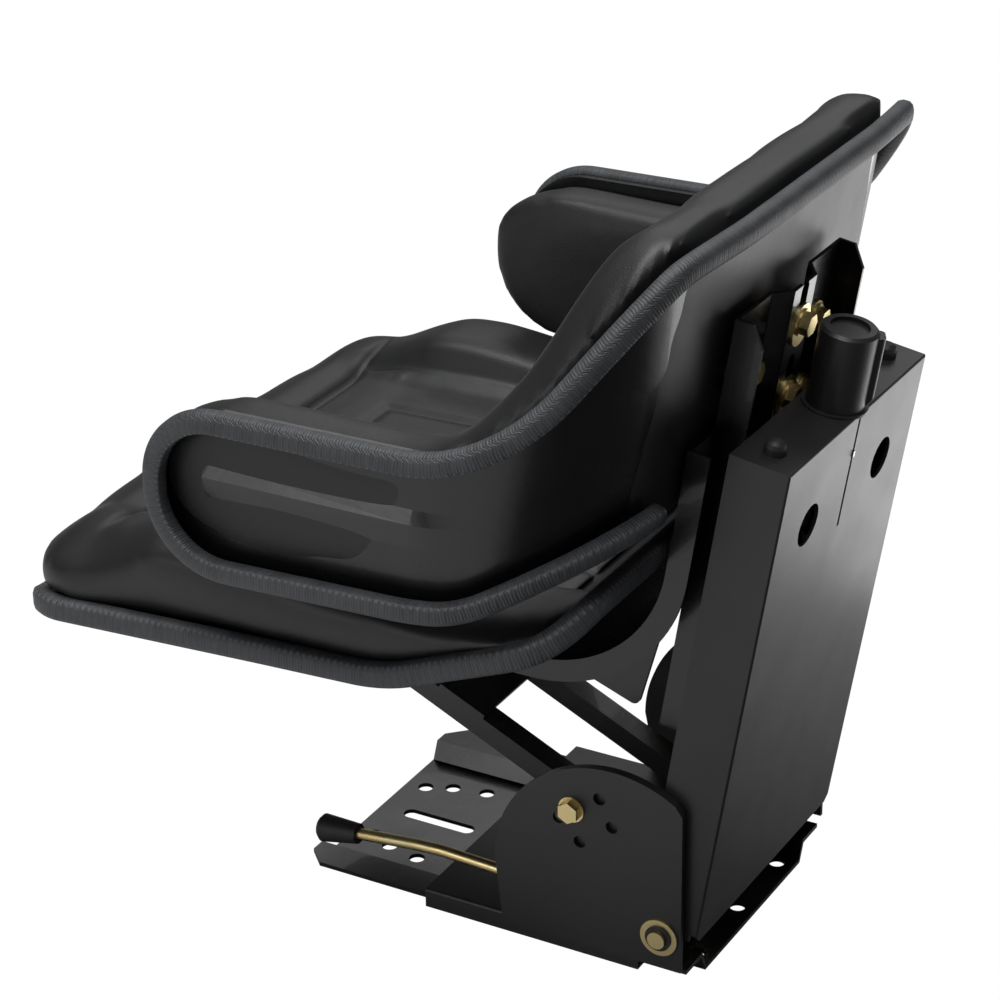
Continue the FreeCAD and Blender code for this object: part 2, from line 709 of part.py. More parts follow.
# Lever bracket on the slide and the lever's pivot pin
bracket_half = 7.0
bracket_sheet = 2.5
bracket_shapes = []
for side in (1, -1):
    inner = latch_across + side * bracket_half
    outer = inner + side * bracket_sheet
    low_x, high_x = sorted((inner, outer))
    corners = [(lever_pivot_y - 9, slide_top, 0), (lever_pivot_y + 9, slide_top, 0),
               (lever_pivot_y + 9, lever_pivot_z + 7, 6), (lever_pivot_y - 9, lever_pivot_z + 7, 6)]
    ear = prism(outline(corners, "YZ", low_x), Vector(high_x - low_x, 0, 0))
    hole = Part.makeCylinder(lever_pin_radius + running_gap, high_x - low_x,
                             Vector(low_x, lever_pivot_y, lever_pivot_z), x_axis)
    bracket_shapes.append(ear.cut(hole))
feature("lever_bracket", Part.Compound(bracket_shapes))
pin_half = bracket_half + bracket_sheet + 2
lever_pin = cylinder("$lever_pin_radius", "2 * %g" % pin_half,
                     Vector(latch_across - pin_half, lever_pivot_y, lever_pivot_z), x_axis)
keep(lever_pin, "lever_pin")

# Lever: a bent rod with an eye at the pivot, its rubber grip, and the latch tooth
rod_points = [Vector(latch_across, lever_pivot_y, lever_pivot_z),
              Vector(latch_across, -120, 44),
              Vector(latch_across, -175, 46),
              Vector(latch_across, -195, 45),
              Vector(latch_across, -262, 38)]


def tube_path(points, radii):
    """A wire of straight runs joined by tangent arcs at the inner points."""
    edges = []
    last = points[0]
    for index in range(1, len(points) - 1):
        here = points[index]
        back = (points[index - 1] - here).normalize()
        ahead = (points[index + 1] - here).normalize()
        half = back.getAngle(ahead) / 2
        reach = radii / math.tan(half)
        start = here + back * reach
        end = here + ahead * reach
        middle = here + (back + ahead).normalize() * (radii / math.sin(half) - radii)
        edges.append(Part.LineSegment(last, start).toShape())
        edges.append(Part.Arc(start, middle, end).toShape())
        last = end
    edges.append(Part.LineSegment(last, points[-1]).toShape())
    return Part.Wire(edges)


def swept_bar(points, radius, bend):
    """A round bar swept along straight runs and arcs."""
    path = tube_path(points, bend)
    start = points[0]
    circle = Part.Wire(Part.Circle(start, points[1] - start, radius).toShape())
    return path.makePipeShell([circle], True, False)


rod = swept_bar(rod_points, rod_radius, 60)
eye = Part.makeCylinder(8, 2 * (bracket_half - 0.5), Vector(latch_across - bracket_half + 0.5, lever_pivot_y, lever_pivot_z), x_axis)
rod = join([rod, eye])
rod = rod.cut(Part.makeCylinder(lever_pin_radius + running_gap, 30,
                                Vector(latch_across - 15, lever_pivot_y, lever_pivot_z), x_axis))
feature("lever_rod", rod)
rod_end = rod_points[-1]
grip_way = (rod_points[-1] - rod_points[-2]).normalize()
grip_start = rod_end - grip_way * 22
grip = Part.makeCone(grip_small_radius, grip_big_radius, grip_length, grip_start, grip_way)
grip = grip.makeChamfer(2.5, [edge for edge in grip.Edges if edge.Curve.TypeId == "Part::GeomCircle"
                             and abs(edge.Curve.Radius - grip_big_radius) < 1e-6])
grip = grip.cut(Part.makeCylinder(rod_radius, 22.0, grip_start, grip_way))
feature("lever_grip", grip)
tooth_low = wing_top + seat_gap
tooth_high = lever_pivot_z + 4.5
tooth = block((latch_across - latch_thick / 2, latch_rest_y - latch_tooth / 2, tooth_low),
              (latch_across + latch_thick / 2, latch_rest_y + latch_tooth / 2, tooth_high))
feature("latch_tooth", tooth.cut(swept_bar(rod_points, rod_radius, 60)))

# Suspension box, folded from one sheet: back, sides and top
box_shape = block((-box_half, box_rear - box_depth, box_bottom), (box_half, box_rear, box_top))
box_shape = box_shape.makeFillet(1.6, [edge for edge in box_shape.Edges
                                       if abs(edge.BoundBox.YMin - box_rear) < 1e-6
                                       and abs(edge.BoundBox.YMax - box_rear) < 1e-6
                                       and edge.BoundBox.ZMax > box_bottom + 1])
hollow = block((box_sheet - box_half, box_rear - box_depth - 1, box_bottom - 1),
               (box_half - box_sheet, box_rear - box_sheet, box_top - box_sheet))
box_tools = [hollow]
for side in (1, -1):
    box_tools.append(Part.makeCylinder(view_hole_radius, 3 * box_sheet,
                                       Vector(side * view_hole_across, box_rear - 2 * box_sheet, view_hole_up), y_axis))
    shaft_hole = Part.makeCylinder(pivot_radius + running_gap, 3 * box_sheet,
                                   Vector(side * (box_half + box_sheet), 0, 0), x_axis * -side)
    box_tools.append(shaft_hole)
    notch = [(side * (box_half + 1), box_bottom - 1, 0), (side * (box_half + 1), box_bottom + 7, 0),
             (side * (box_half - 7), box_bottom - 1, 0)]
    box_tools.append(prism(outline(notch, "XZ", box_rear - 2 * box_sheet), Vector(0, 3 * box_sheet, 0)))
box_tools.append(block((-slit_width / 2, box_rear - 2 * box_sheet, slit_bottom),
                       (slit_width / 2, box_rear + 1, slit_top)))
box_tools.append(Part.makeCylinder(spindle_radius + running_gap, 3 * box_sheet,
                                   Vector(0, knob_place_y, box_top - 2 * box_sheet), z_axis))
feature("box_shell", box_shape.cut(box_tools), lean)

# Roller guides inside the box, one channel on each side wall
guides = []
guide_inner = box_half - box_sheet
channel_half = roller_radius + seat_gap
for side in (1, -1):
    low_x, high_x = sorted((side * (guide_inner - guide_depth), side * guide_inner))
    outer = block((low_x, roller_place_y - channel_half - guide_sheet, guide_bottom),
                  (high_x, roller_place_y + channel_half + guide_sheet, guide_top))
    low_x, high_x = sorted((side * (guide_inner - guide_depth - 1), side * (guide_inner - guide_sheet)))
    groove = block((low_x, roller_place_y - channel_half, guide_bottom - 1),
                   (high_x, roller_place_y + channel_half, guide_top + 1))
    guides.append(outer.cut(groove))
feature("roller_guides", Part.Compound(guides), lean)

# Rubber bumpers on the top plate, and the stops in the guides that end the travel
bumpers = []
for side in (1, -1):
    foot = Vector(side * bumper_across, 2.0, box_top)
    profile_points = [(0, 0), (bumper_radius, 0), (bumper_radius, 4.5), (0.86 * bumper_radius, 7.0),
                      (0.5 * bumper_radius, 8.8), (0, 9.3)]
    wire = Part.makePolygon([foot + Vector(u, 0, v) for u, v in profile_points + profile_points[:1]])
    bumpers.append(Part.Face(wire).revolve(foot, z_axis, 360))
feature("top_bumpers", Part.Compound(bumpers), lean)
stops = []
for side in (1, -1):
    low_x, high_x = sorted((side * (guide_inner - guide_depth + 2), side * (guide_inner - guide_sheet)))
    stop_top = roller_low - stroke - roller_radius - 1.0
    stops.append(block((low_x, roller_place_y - channel_half, guide_bottom),
                       (high_x, roller_place_y + channel_half, stop_top)))
    stop_foot = roller_high + roller_radius + seat_gap
    stops.append(block((low_x, roller_place_y - channel_half, stop_foot),
                       (high_x, roller_place_y + channel_half, stop_foot + 12)))
feature("travel_stops", Part.Compound(stops), lean)

# Weight knob, its washer, the threaded spindle and the anchor bar with its pointer
knob_foot = Vector(0, knob_place_y, box_top + 1.5)
knob_rim = 2.0
knob = join([Part.makeCylinder(knob_radius, knob_high - knob_rim, knob_foot, z_axis),
             Part.makeCone(knob_radius, knob_radius - knob_rim, knob_rim, knob_foot + z_axis * (knob_high - knob_rim), z_axis)])
wing_reach = knob_radius + knob_wing
wing_points = [(-knob_wing_wide / 2 - 4, 0, 0), (-knob_wing_wide / 2, wing_reach, 3),
               (knob_wing_wide / 2, wing_reach, 3), (knob_wing_wide / 2 + 4, 0, 0)]
wing = prism(outline(wing_points, "XY"), Vector(0, 0, 0.93 * knob_high))
under_wing = [(wing_reach + 1, -1, 0), (wing_reach + 1, 9, 0), (knob_radius - 4, -1, 0)]
wing = wing.cut(prism(outline(under_wing, "YZ", -knob_radius), Vector(2 * knob_radius, 0, 0)))
wing.Placement = Placement(knob_foot, Rotation(z_axis, 29))
knob = join([knob, wing])
knob = knob.cut([Part.makeCylinder(knob_radius - 6, knob_recess, knob_foot + Vector(0, 0, knob_high - knob_recess), z_axis),
                 Part.makeCylinder(spindle_radius, 32, knob_foot, z_axis)])
feature("weight_knob", knob, lean)
knob_ring = ring(knob_radius + 2.5, spindle_radius + running_gap, 1.5, Vector(0, knob_place_y, box_top), z_axis)
feature("knob_washer", knob_ring, lean)
spindle = Part.makeCylinder(spindle_radius, box_top + 1.5 + 32 - spindle_bottom, Vector(0, knob_place_y, spindle_bottom), z_axis)
feature("spindle", spindle, lean)
anchor = block((-anchor_half, knob_place_y - 8, anchor_up - anchor_high / 2),
               (anchor_half, knob_place_y + 8, anchor_up + anchor_high / 2))
pointer = block((-slit_width / 2 + 0.4, knob_place_y + 8, anchor_up - 2),
                (slit_width / 2 - 0.4, box_rear + 1.0, anchor_up + 2))
anchor = join([anchor, pointer])
anchor_tools = [Part.makeCylinder(spindle_radius + running_gap, 2 * anchor_high,
                                  Vector(0, knob_place_y, anchor_up - anchor_high), z_axis)]
feature("spring_anchor", anchor.cut(anchor_tools), lean)

# Roller frame inside the box, with an upper and a lower axle
frame_low = roller_low - 18
frame_high = roller_high + 18
web = block((-frame_half, frame_face, frame_low), (frame_half, frame_face + frame_sheet, frame_high))
frame_parts = [web]
for side in (1, -1):
    low_x, high_x = sorted((side * frame_half, side * (frame_half - frame_sheet)))
    frame_parts.append(block((low_x, frame_face, frame_low), (high_x, roller_place_y + 12, frame_high)))
frame_shape = join(frame_parts)
frame_tools = [block((-50, frame_face - 1, roller_low + 42), (50, frame_face + frame_sheet + 1, roller_high - 40))]
for up in (roller_low, roller_high):
    frame_tools.append(Part.makeCylinder(axle_radius, 2 * frame_half + 2, Vector(-frame_half - 1, roller_place_y, up), x_axis))
feature("roller_frame", frame_shape.cut(frame_tools), lean)
axle_half = guide_inner - guide_sheet - 1.5
axles = []
for up in (roller_low, roller_high):
    axles.append(Part.makeCylinder(axle_radius, 2 * axle_half, Vector(-axle_half, roller_place_y, up), x_axis))
axles[1] = axles[1].cut(block((-frame_half + frame_sheet + 10, -20, roller_high - 10), (frame_half - frame_sheet - 10, 20, roller_high + 10)))
feature("roller_axles", Part.Compound(axles), lean)
roller_outer = axle_half - 0.5
for label, up in (("lower_rollers", roller_low), ("upper_rollers", roller_high)):
    pair = []
    for side in (1, -1):
        start = Vector(side * (roller_outer - roller_width), roller_place_y, up)
        pair.append(ring(roller_radius, axle_radius + running_gap, roller_width, start, x_axis * side))
    feature(label, Part.Compound(pair), lean)

# Two tension springs from the anchor bar down to the lower axle
spring_top = anchor_up - anchor_high / 2 - seat_gap
spring_low = roller_low + axle_radius + seat_gap
spring_turns = round((spring_top - spring_low) / 18.0)
spring_steps = 10
spring_sides = 5


def coil_section(turn, rise):
    """One flat section of the spring wire at the given turn, as a closed wire."""
    out = Vector(math.cos(turn), math.sin(turn), 0)
    corners = []
    for corner in range(spring_sides + 1):
        angle = 2 * math.pi * corner / spring_sides
        reach = spring_radius + spring_wire / 2 * math.cos(angle)
        corners.append(out * reach + Vector(0, 0, rise + spring_wire / 2 * math.sin(angle)))
    return Part.makePolygon(corners)


springs = []
for side in (1, -1):
    centre = Vector(side * spring_across, knob_place_y - 1, spring_low + spring_wire / 2)
    turns_high = spring_top - spring_low - spring_wire
    sections = []
    for step in range(spring_turns * spring_steps + 1):
        share = step / (spring_turns * spring_steps)
        sections.append(coil_section(2 * math.pi * step / spring_steps, turns_high * share))
    coil = Part.makeLoft(sections, True, True)
    coil.translate(centre)
    springs.append(coil)
feature("tension_springs", Part.Compound(springs), lean)

# Damper behind the springs: its body stands on the box, its rod hangs from the upper axle
damper_y = box_rear - box_sheet - damper_radius - seat_gap
damper_base = pivot_radius + 8.0
damper_top = roller_low - axle_radius - 1.0
damper = Part.makeCylinder(damper_radius, damper_top - damper_base, Vector(damper_across, damper_y, damper_base), z_axis)
damper_foot = block((damper_across - 9, pivot_radius + 1.5, pivot_radius + 0.5),
                    (damper_across + 9, box_rear - box_sheet, damper_base))
bore = Part.makeCylinder(damper_rod_radius + running_gap, damper_top - damper_base,
                         Vector(damper_across, damper_y, damper_base + 6), z_axis)
feature("damper_body", join([damper, damper_foot]).cut(bore), lean)
rod_foot = damper_top - 20
damper_rod = Part.makeCylinder(damper_rod_radius, roller_high - 5 - rod_foot, Vector(damper_across, damper_y, rod_foot), z_axis)
damper_eye = block((damper_across - damper_rod_radius, roller_place_y - 9, roller_high - 8),
                   (frame_half - frame_sheet - 4, damper_y + damper_rod_radius, roller_high + 8))
axle_way = Part.makeCylinder(axle_radius, 100, Vector(damper_across - 10, roller_place_y, roller_high), x_axis)
feature("damper_rod", join([damper_rod, damper_eye]).cut(axle_way), lean)

# Back bracket: a hat section of sheet with slots for the seat bolts
hat = new_body("back_bracket", lean)
profile = new_sketch(hat, "XY_Plane", "$hat_bottom")
hat_points = [
    ("$hat_half", "$hat_edge"), ("$hat_half", "$hat_land"), ("$hat_land_inner", "$hat_land"),
    ("$hat_web_half", "$hat_web - $hat_sheet"), ("-$hat_web_half", "$hat_web - $hat_sheet"),
    ("-$hat_land_inner", "$hat_land"), ("-$hat_half", "$hat_land"), ("-$hat_half", "$hat_edge"),
    ("$hat_sheet - $hat_half", "$hat_edge"), ("$hat_sheet - $hat_half", "$hat_land + $hat_sheet"),
    ("-$hat_land_inner - 0.8", "$hat_land + $hat_sheet"), ("-$hat_web_half - 0.8", "$hat_web"),
    ("$hat_web_half + 0.8", "$hat_web"), ("$hat_land_inner + 0.8", "$hat_land + $hat_sheet"),
    ("$hat_half - $hat_sheet", "$hat_land + $hat_sheet"), ("$hat_half - $hat_sheet", "$hat_edge"),
]
draw_outline(profile, hat_points)
pad(hat, profile, "$hat_top - $hat_bottom")
land_holes = new_sketch(hat, "XZ_Plane")
for side in ("", "-"):
    for up in ("low", "high"):
        draw_circle(land_holes, side + "$hat_bolt_across", "$hat_bolt_" + up, "$bolt_radius + $seat_gap")
pocket_through(hat, land_holes)
slots = new_sketch(hat, "XZ_Plane")
for up in (web_bolt_low, web_bolt_high):
    high = up + web_slot_rise
    wide = bolt_radius + 1.2
    draw_edges(slots, [
        Part.LineSegment(Vector(wide, up, 0), Vector(wide, high, 0)),
        Part.Arc(Vector(wide, high, 0), Vector(0, high + wide, 0), Vector(-wide, high, 0)),
        Part.LineSegment(Vector(-wide, high, 0), Vector(-wide, up, 0)),
        Part.Arc(Vector(-wide, up, 0), Vector(0, up - wide, 0), Vector(wide, up, 0)),
    ])
pocket_through(hat, slots)
trim_corner = new_sketch(hat, "YZ_Plane")
draw_outline(trim_corner, [
    ("$hat_edge + 1", "$hat_top + 1"), ("$hat_edge - 9", "$hat_top + 1"), ("$hat_edge + 1", "$hat_top - 16"),
])
pocket_through(hat, trim_corner)

# Spacer tubes from the back bracket to the roller frame
spacers = []
for side in (1, -1):
    for up in (spacer_low, spacer_high):
        start = Vector(side * spacer_across, hat_land + hat_sheet, up)
        spacers.append(Part.makeCylinder(spacer_radius, frame_face - hat_land - hat_sheet, start, y_axis))
feature("spacer_tubes", Part.Compound(spacers), lean)

# Curved carrier: a wide sheet bent from upright to level, with side flanges outside the bend
pivot_line = hat_land - seat_gap - carrier_sheet
bend_centre_z = carrier_floor + carrier_bend
upright_front = pivot_line
arm_turn = math.radians(arm_angle)
arm_way = Vector(0, -math.cos(arm_turn), math.sin(arm_turn))
arm_up = Vector(0, math.sin(arm_turn), math.cos(arm_turn))
pivot_point = Vector(0, pivot_y, pivot_z)
pin_place = pivot_point + arm_way * arm_length
carrier_front = pin_place.y + carrier_short
start = leaning(0, upright_front, 0)
bend_centre_y = start.y + (bend_centre_z - start.z) * tilt_sin / tilt_cos - carrier_bend / tilt_cos


def carrier_band(inner, outer, low_x, high_x):
    """The carrier's side profile between two bend radii, as a solid across the given width."""
    shapes = []
    centre = Vector(low_x, bend_centre_y, bend_centre_z)
    normal = Vector(0, tilt_cos, -tilt_sin)
    up = Vector(0, tilt_sin, tilt_cos)
    level = Vector(0, 0, -1)
    end_up = up * ((carrier_top - bend_centre_z) / tilt_cos)
    end_forward = Vector(0, carrier_front - bend_centre_y, 0)
    across = Vector(high_x - low_x, 0, 0)
    halfway = (normal + level).normalize()
    wire = Part.Wire([
        Part.LineSegment(centre + normal * inner + end_up, centre + normal * inner).toShape(),
        Part.Arc(centre + normal * inner, centre + halfway * inner, centre + level * inner).toShape(),
        Part.LineSegment(centre + level * inner, centre + level * inner + end_forward).toShape(),
        Part.LineSegment(centre + level * inner + end_forward, centre + level * outer + end_forward).toShape(),
        Part.LineSegment(centre + level * outer + end_forward, centre + level * outer).toShape(),
        Part.Arc(centre + level * outer, centre + halfway * outer, centre + normal * outer).toShape(),
        Part.LineSegment(centre + normal * outer, centre + normal * outer + end_up).toShape(),
        Part.LineSegment(centre + normal * outer + end_up, centre + normal * inner + end_up).toShape(),
    ])
    return prism(wire, across)


carrier_shape = join([
    carrier_band(carrier_bend, carrier_bend + carrier_sheet, -carrier_half, carrier_half),
    carrier_band(carrier_bend, carrier_bend + carrier_flange, carrier_half - carrier_sheet, carrier_half),
    carrier_band(carrier_bend, carrier_bend + carrier_flange, -carrier_half, carrier_sheet - carrier_half),
])
bolt_ways = []
for side in (1, -1):
    for up in (hat_bolt_low, hat_bolt_high):
        place = leaning(side * hat_bolt_across, hat_land - 10, up)
        bolt_ways.append(Part.makeCylinder(bolt_radius + seat_gap, 20, place, Vector(0, tilt_cos, -tilt_sin)))
for up in (web_bolt_low, web_bolt_high):
    place = leaning(0, hat_land - 10, up)
    bolt_ways.append(Part.makeCylinder(bolt_radius + seat_gap, 20, place, Vector(0, tilt_cos, -tilt_sin)))
feature("seat_carrier", carrier_shape.cut(bolt_ways))

# Gusset plates between the bracket's foot and the carrier
gussets = []
for side in (1, -1):
    low_x, high_x = sorted((side * gusset_across, side * (gusset_across + ear_sheet)))
    corners = [(bend_centre_y + 54.6, carrier_floor - 43, 5), (bend_centre_y + 68.6, carrier_floor + 7, 0),
               (bend_centre_y - 11.4, carrier_floor + 7, 0), (bend_centre_y + 0.6, carrier_floor - 23, 6)]
    gussets.append(prism(outline(corners, "YZ", low_x), Vector(high_x - low_x, 0, 0)))
under_carrier = carrier_band(carrier_bend - 60, carrier_bend + carrier_sheet, -carrier_half, carrier_half)
feature("gusset_plates", Part.Compound([plate.cut(under_carrier) for plate in gussets]))

# Bolts of the back bracket: four through the lands into nuts in the back, two through slots in the web
bolts = []
ovals = []
nuts = []
back_face = hat_land - seat_gap - carrier_sheet - seat_gap
boss_floor = back_face - back_sheet
for side in (1, -1):
    for up in (hat_bolt_low, hat_bolt_high):
        foot = Vector(side * hat_bolt_across, hat_land + hat_sheet, up)
        face = foot + y_axis * washer_thick
        bolts.append(flange_bolt(face, y_axis, face.y - boss_floor + nut_thick + 0.5))
        ovals.append(ring(washer_radius, bolt_radius + running_gap, washer_thick, foot, y_axis))
        seat = Vector(side * hat_bolt_across, boss_floor, up)
        nuts.append(hexagon(bolt_head_across, nut_thick, seat, y_axis * -1).cut(
            Part.makeCylinder(bolt_radius + running_gap, nut_thick, seat, y_axis * -1)))
for up in (web_bolt_low, web_bolt_high):
    foot = Vector(0, hat_web, up)
    face = foot + y_axis * washer_thick
    bolts.append(flange_bolt(face, y_axis, face.y - hat_land + 1.0))
    plate = block((-washer_radius, hat_web, up - washer_radius - 5), (washer_radius, hat_web + washer_thick, up + washer_radius + 1))
    plate = plate.makeFillet(washer_radius - 1, [edge for edge in plate.Edges if abs(edge.BoundBox.YLength - washer_thick) < 1e-6])
    ovals.append(plate.cut(Part.makeCylinder(bolt_radius + running_gap, washer_thick, foot, y_axis)))
    seat = Vector(0, hat_land - seat_gap, up)
    nuts.append(ring(bolt_flange_radius, bolt_radius + running_gap, hat_web - hat_sheet - seat_gap - seat.y, seat, y_axis))
feature("bracket_bolts", Part.Compound(bolts), lean)
feature("bracket_washers", Part.Compound(ovals), lean)
feature("bracket_nuts", Part.Compound(nuts), lean)

# Support arms: two channels on the pivot shaft, tied by a cross plate, with a pin at the front
arm_frame = Placement(pivot_point, Rotation(x_axis * -1, arm_way, arm_up, "XYZ"))


arms = []
for side in (1, -1):
    middle = side * arm_across
    outer = block((middle - arm_wide / 2, -9, -arm_deep / 2), (middle + arm_wide / 2, arm_length + 9, arm_deep / 2))
    outer = outer.makeFillet(7.0, [edge for edge in outer.Edges
                                   if abs(edge.BoundBox.XLength - arm_wide) < 1e-6 and edge.BoundBox.ZMax < 0])
    inner = block((middle - arm_wide / 2 + arm_sheet, -10, -arm_deep / 2 - 1),
                  (middle + arm_wide / 2 - arm_sheet, arm_length + 10, arm_deep / 2 - arm_sheet))
    shape = outer.cut(inner)
    eye = Part.makeCylinder(pivot_radius + running_gap, arm_wide + 2, Vector(middle - arm_wide / 2 - 1, 0, 0), x_axis)
    roof = block((middle - arm_wide / 2 + arm_sheet, -10, 0), (middle + arm_wide / 2 - arm_sheet, 12, arm_deep))
    pin_eye = Part.makeCylinder(arm_pin_radius, arm_wide + 2, Vector(middle - arm_wide / 2 - 1, arm_length, 0), x_axis)
    arms.append(shape.cut([eye, roof, pin_eye]))
feature("support_arms", Part.Compound(arms), arm_frame)
cross = block((-arm_across - arm_wide / 2, cross_plate_start, arm_deep / 2),
              (arm_across + arm_wide / 2, cross_plate_start + cross_plate_wide, arm_deep / 2 + 3))
feature("cross_plate", cross, arm_frame)
pin_half = ear_across + ear_sheet + 4
feature("arm_front_pin", Part.makeCylinder(arm_pin_radius, 2 * pin_half, Vector(-pin_half, arm_length, 0), x_axis), arm_frame)

# Ears under the seat pan that hold the front pin in slots
ears = []
slip = 12.0
for side in (1, -1):
    low_x, high_x = sorted((side * ear_across, side * (ear_across + ear_sheet)))
    corners = [(pin_place.y - 26, pin_place.z - 14, 8), (pin_place.y + 16, pin_place.z - 14, 8),
               (pin_place.y + 22, carrier_floor, 0), (pin_place.y - 32, carrier_floor, 0)]
    ear = prism(outline(corners, "YZ", low_x), Vector(high_x - low_x, 0, 0))
    high = arm_pin_radius + 1.3
    slot_corners = [(pin_place.y - slip - high, pin_place.z - high, high - 0.01), (pin_place.y + high, pin_place.z - high, high - 0.01),
                    (pin_place.y + high, pin_place.z + high, high - 0.01), (pin_place.y - slip - high, pin_place.z + high, high - 0.01)]
    ears.append(ear.cut(prism(outline(slot_corners, "YZ", low_x - 1), Vector(high_x - low_x + 2, 0, 0))))
feature("front_ears", Part.Compound(ears))

# Seat pan: a sheet that drops at the front lip and rises at the rear, dished in the middle
pan_rim_front = carrier_floor + pan_front_rise
pan_rim_middle = carrier_floor + pan_middle_rise
pan_lip = carrier_floor - pan_lip_drop
pan_rim_rear = carrier_floor + pan_rear_rise
cushion_top = carrier_floor + cushion_rise
pan_profile = [(pan_front - 20, pan_lip - 12, 0), (pan_front + 26, pan_rim_front, 22), (-230, pan_rim_middle, 300),
               (-140, pan_rim_middle + 4, 120), (-30, pan_rim_rear - 20, 60), (10, pan_rim_rear + 34, 0)]


def pan_band(low, high, wide):
    """The space between two copies of the pan's side profile, across the given half width."""
    above = [(u, v + high, r) for u, v, r in pan_profile]
    below = [(u, v + low, r) for u, v, r in reversed(pan_profile)]
    return prism(outline(above + below, "YZ", -wide), Vector(2 * wide, 0, 0))


def pan_plan(inset, low, high):
    """The pan's plan outline drawn in by inset, as an upright prism."""
    half = pan_half - inset
    front = pan_front + inset
    rear = pan_rear - inset
    corner = pan_corner - inset
    corners = [(half, rear, 45), (half + 0.0, front + 14, corner), (0, front - 4, 900), (-half, front + 14, corner), (-half, rear, 45)]
    return prism(outline(corners, "XY", low), Vector(0, 0, high - low))


dish_floor = carrier_floor + seat_gap
dish_corners = [(150, -120, 30), (150, -380, 40), (-150, -380, 40), (-150, -120, 30)]
dish_outer = prism(outline(dish_corners, "XY", dish_floor), Vector(0, 0, 60))
inner_corners = [(u - math.copysign(pan_sheet, u), v + (pan_sheet if v < -200 else -pan_sheet), r - pan_sheet) for u, v, r in dish_corners]
dish_inner = prism(outline(inner_corners, "XY", dish_floor + pan_sheet), Vector(0, 0, 60))
under_rim = pan_band(-80, pan_sheet, pan_half + 5)
rim_sheet = pan_plan(4, 150, 400).common(pan_band(0, pan_sheet, pan_half + 5))
pan = join([rim_sheet, dish_outer.common(under_rim)]).cut(dish_inner)
feature("seat_pan", pan)

# Cushion: one soft solid on the pan, with a sunk insert between its bolsters
cushion_points = [(pan_front - 60, cushion_top - 38, 0), (pan_front + 8, cushion_top - 16, 40),
                  (pan_front + 48, cushion_top - 8, 60), (-200, cushion_top - 2, 200), (-110, cushion_top, 200),
                  (-60, cushion_top + 10, 80), (30, cushion_top + 32, 0)]
cushion_foot = [(30, 100, 0), (pan_front - 60, 100, 0)]
top_space = prism(outline(cushion_points + cushion_foot, "YZ", -pan_half - 10), Vector(2 * pan_half + 20, 0, 0))
cushion_lip = pan_plan(1, 150, 400).cut(pan_plan(10.5, 149, 401)).cut(pan_band(-400, 9.6, pan_half + 20))
cushion = join([pan_plan(10, 150, 400), cushion_lip]).common(top_space)
cushion = cushion.cut(pan_band(-400, pan_sheet + seat_gap, pan_half + 20))
insert_points = [(max(u, insert_front), v - insert_depth, r) for u, v, r in cushion_points if u > insert_front - 30]
insert_roof = [(30, cushion_top + 90, 0), (insert_front, cushion_top + 90, 0)]
insert_space = prism(outline(insert_points + insert_roof, "YZ", -insert_half), Vector(2 * insert_half, 0, 0))
feature("seat_cushion", cushion.cut(insert_space))

# Edge trim round the seat pan: a strip slotted over the sheet's edge
trim = pan_plan(-3, 150, 400).cut(pan_plan(9, 149, 401))
trim = trim.common(pan_band(-6, 9, pan_half + 20))
slot_space = pan_plan(4 - 0.3, 149, 401).common(pan_band(-seat_gap, pan_sheet + seat_gap, pan_half + 20))
feature("seat_trim", trim.cut(slot_space))


def back_plan(inset, low, high):
    """The wrap-around plan curve drawn in by inset, as a prism along the leaning axis, open at the front."""
    half = back_half - inset
    rear = back_rim - inset
    corner = back_corner - inset
    side_rear = rear - (half - back_crease) * math.tan(math.radians(back_facet))
    corners = [(half, -420, 0), (half, side_rear, corner), (back_crease, rear, 0), (-back_crease, rear, 0),
               (-half, side_rear, corner), (-half, -420, 0)]
    shape = prism(outline(corners, "XY", low), Vector(0, 0, high - low))
    shape.Placement = lean
    return shape


def back_outline(grow, half, under=None):
    """The side outline of the back and its arms as a prism across, grown above and, where given, less below."""
    sink = grow if under is None else under
    corners = [
        (80, back_low - sink, 0),
        (16, back_low - sink, 30),
        (-75, arm_rim_bottom + 7.5 - sink, 80),
        (arm_tip - grow, arm_rim_bottom - sink, arm_tip_radius + sink),
        (arm_tip - grow, arm_rim_top - 3 + grow, arm_tip_radius + grow),
        (-50 - 0.5 * grow, arm_rim_top + grow, elbow_radius - grow),
        (36 - 0.5 * grow, back_top + grow, 14 + grow),
        (80, back_top + grow, 0),
    ]
    return prism(outline(corners, "YZ", -half), Vector(2 * half, 0, 0))


reach = back_half + 30
outer_tray = back_plan(0, 150, 620).cut(back_plan(back_recess + back_sheet, 149, 621)).common(back_outline(0, reach))
inner_space = back_plan(-30, 149, 621).cut(back_plan(back_recess, 148, 622)).common(back_outline(-back_sheet, reach))
back_pan = outer_tray.cut(inner_space)
rim_notch = block((-128, pivot_y - 60, 330), (128, 60, back_low + 3))
notch_keep = back_plan(back_recess, 148, 622)
back_pan = back_pan.cut(rim_notch.cut(notch_keep))
bosses = []
boss_bores = []
for side in (1, -1):
    for up in (hat_bolt_low, hat_bolt_high):
        boss = Part.makeCylinder(boss_radius, 8, Vector(side * hat_bolt_across, back_face, up), y_axis * -1)
        hollow = Part.makeCylinder(boss_radius - back_sheet, 8, Vector(side * hat_bolt_across, boss_floor, up), y_axis * -1)
        hole = Part.makeCylinder(bolt_radius + seat_gap, 20, Vector(side * hat_bolt_across, back_face + 5, up), y_axis * -1)
        for shape in (boss, hollow, hole):
            shape.Placement = lean
        bosses.append(boss.common(back_plan(0, 150, 620)).cut(back_plan(back_recess + back_sheet, 149, 621)))
        boss_bores.append(hollow)
        boss_bores.append(hole)


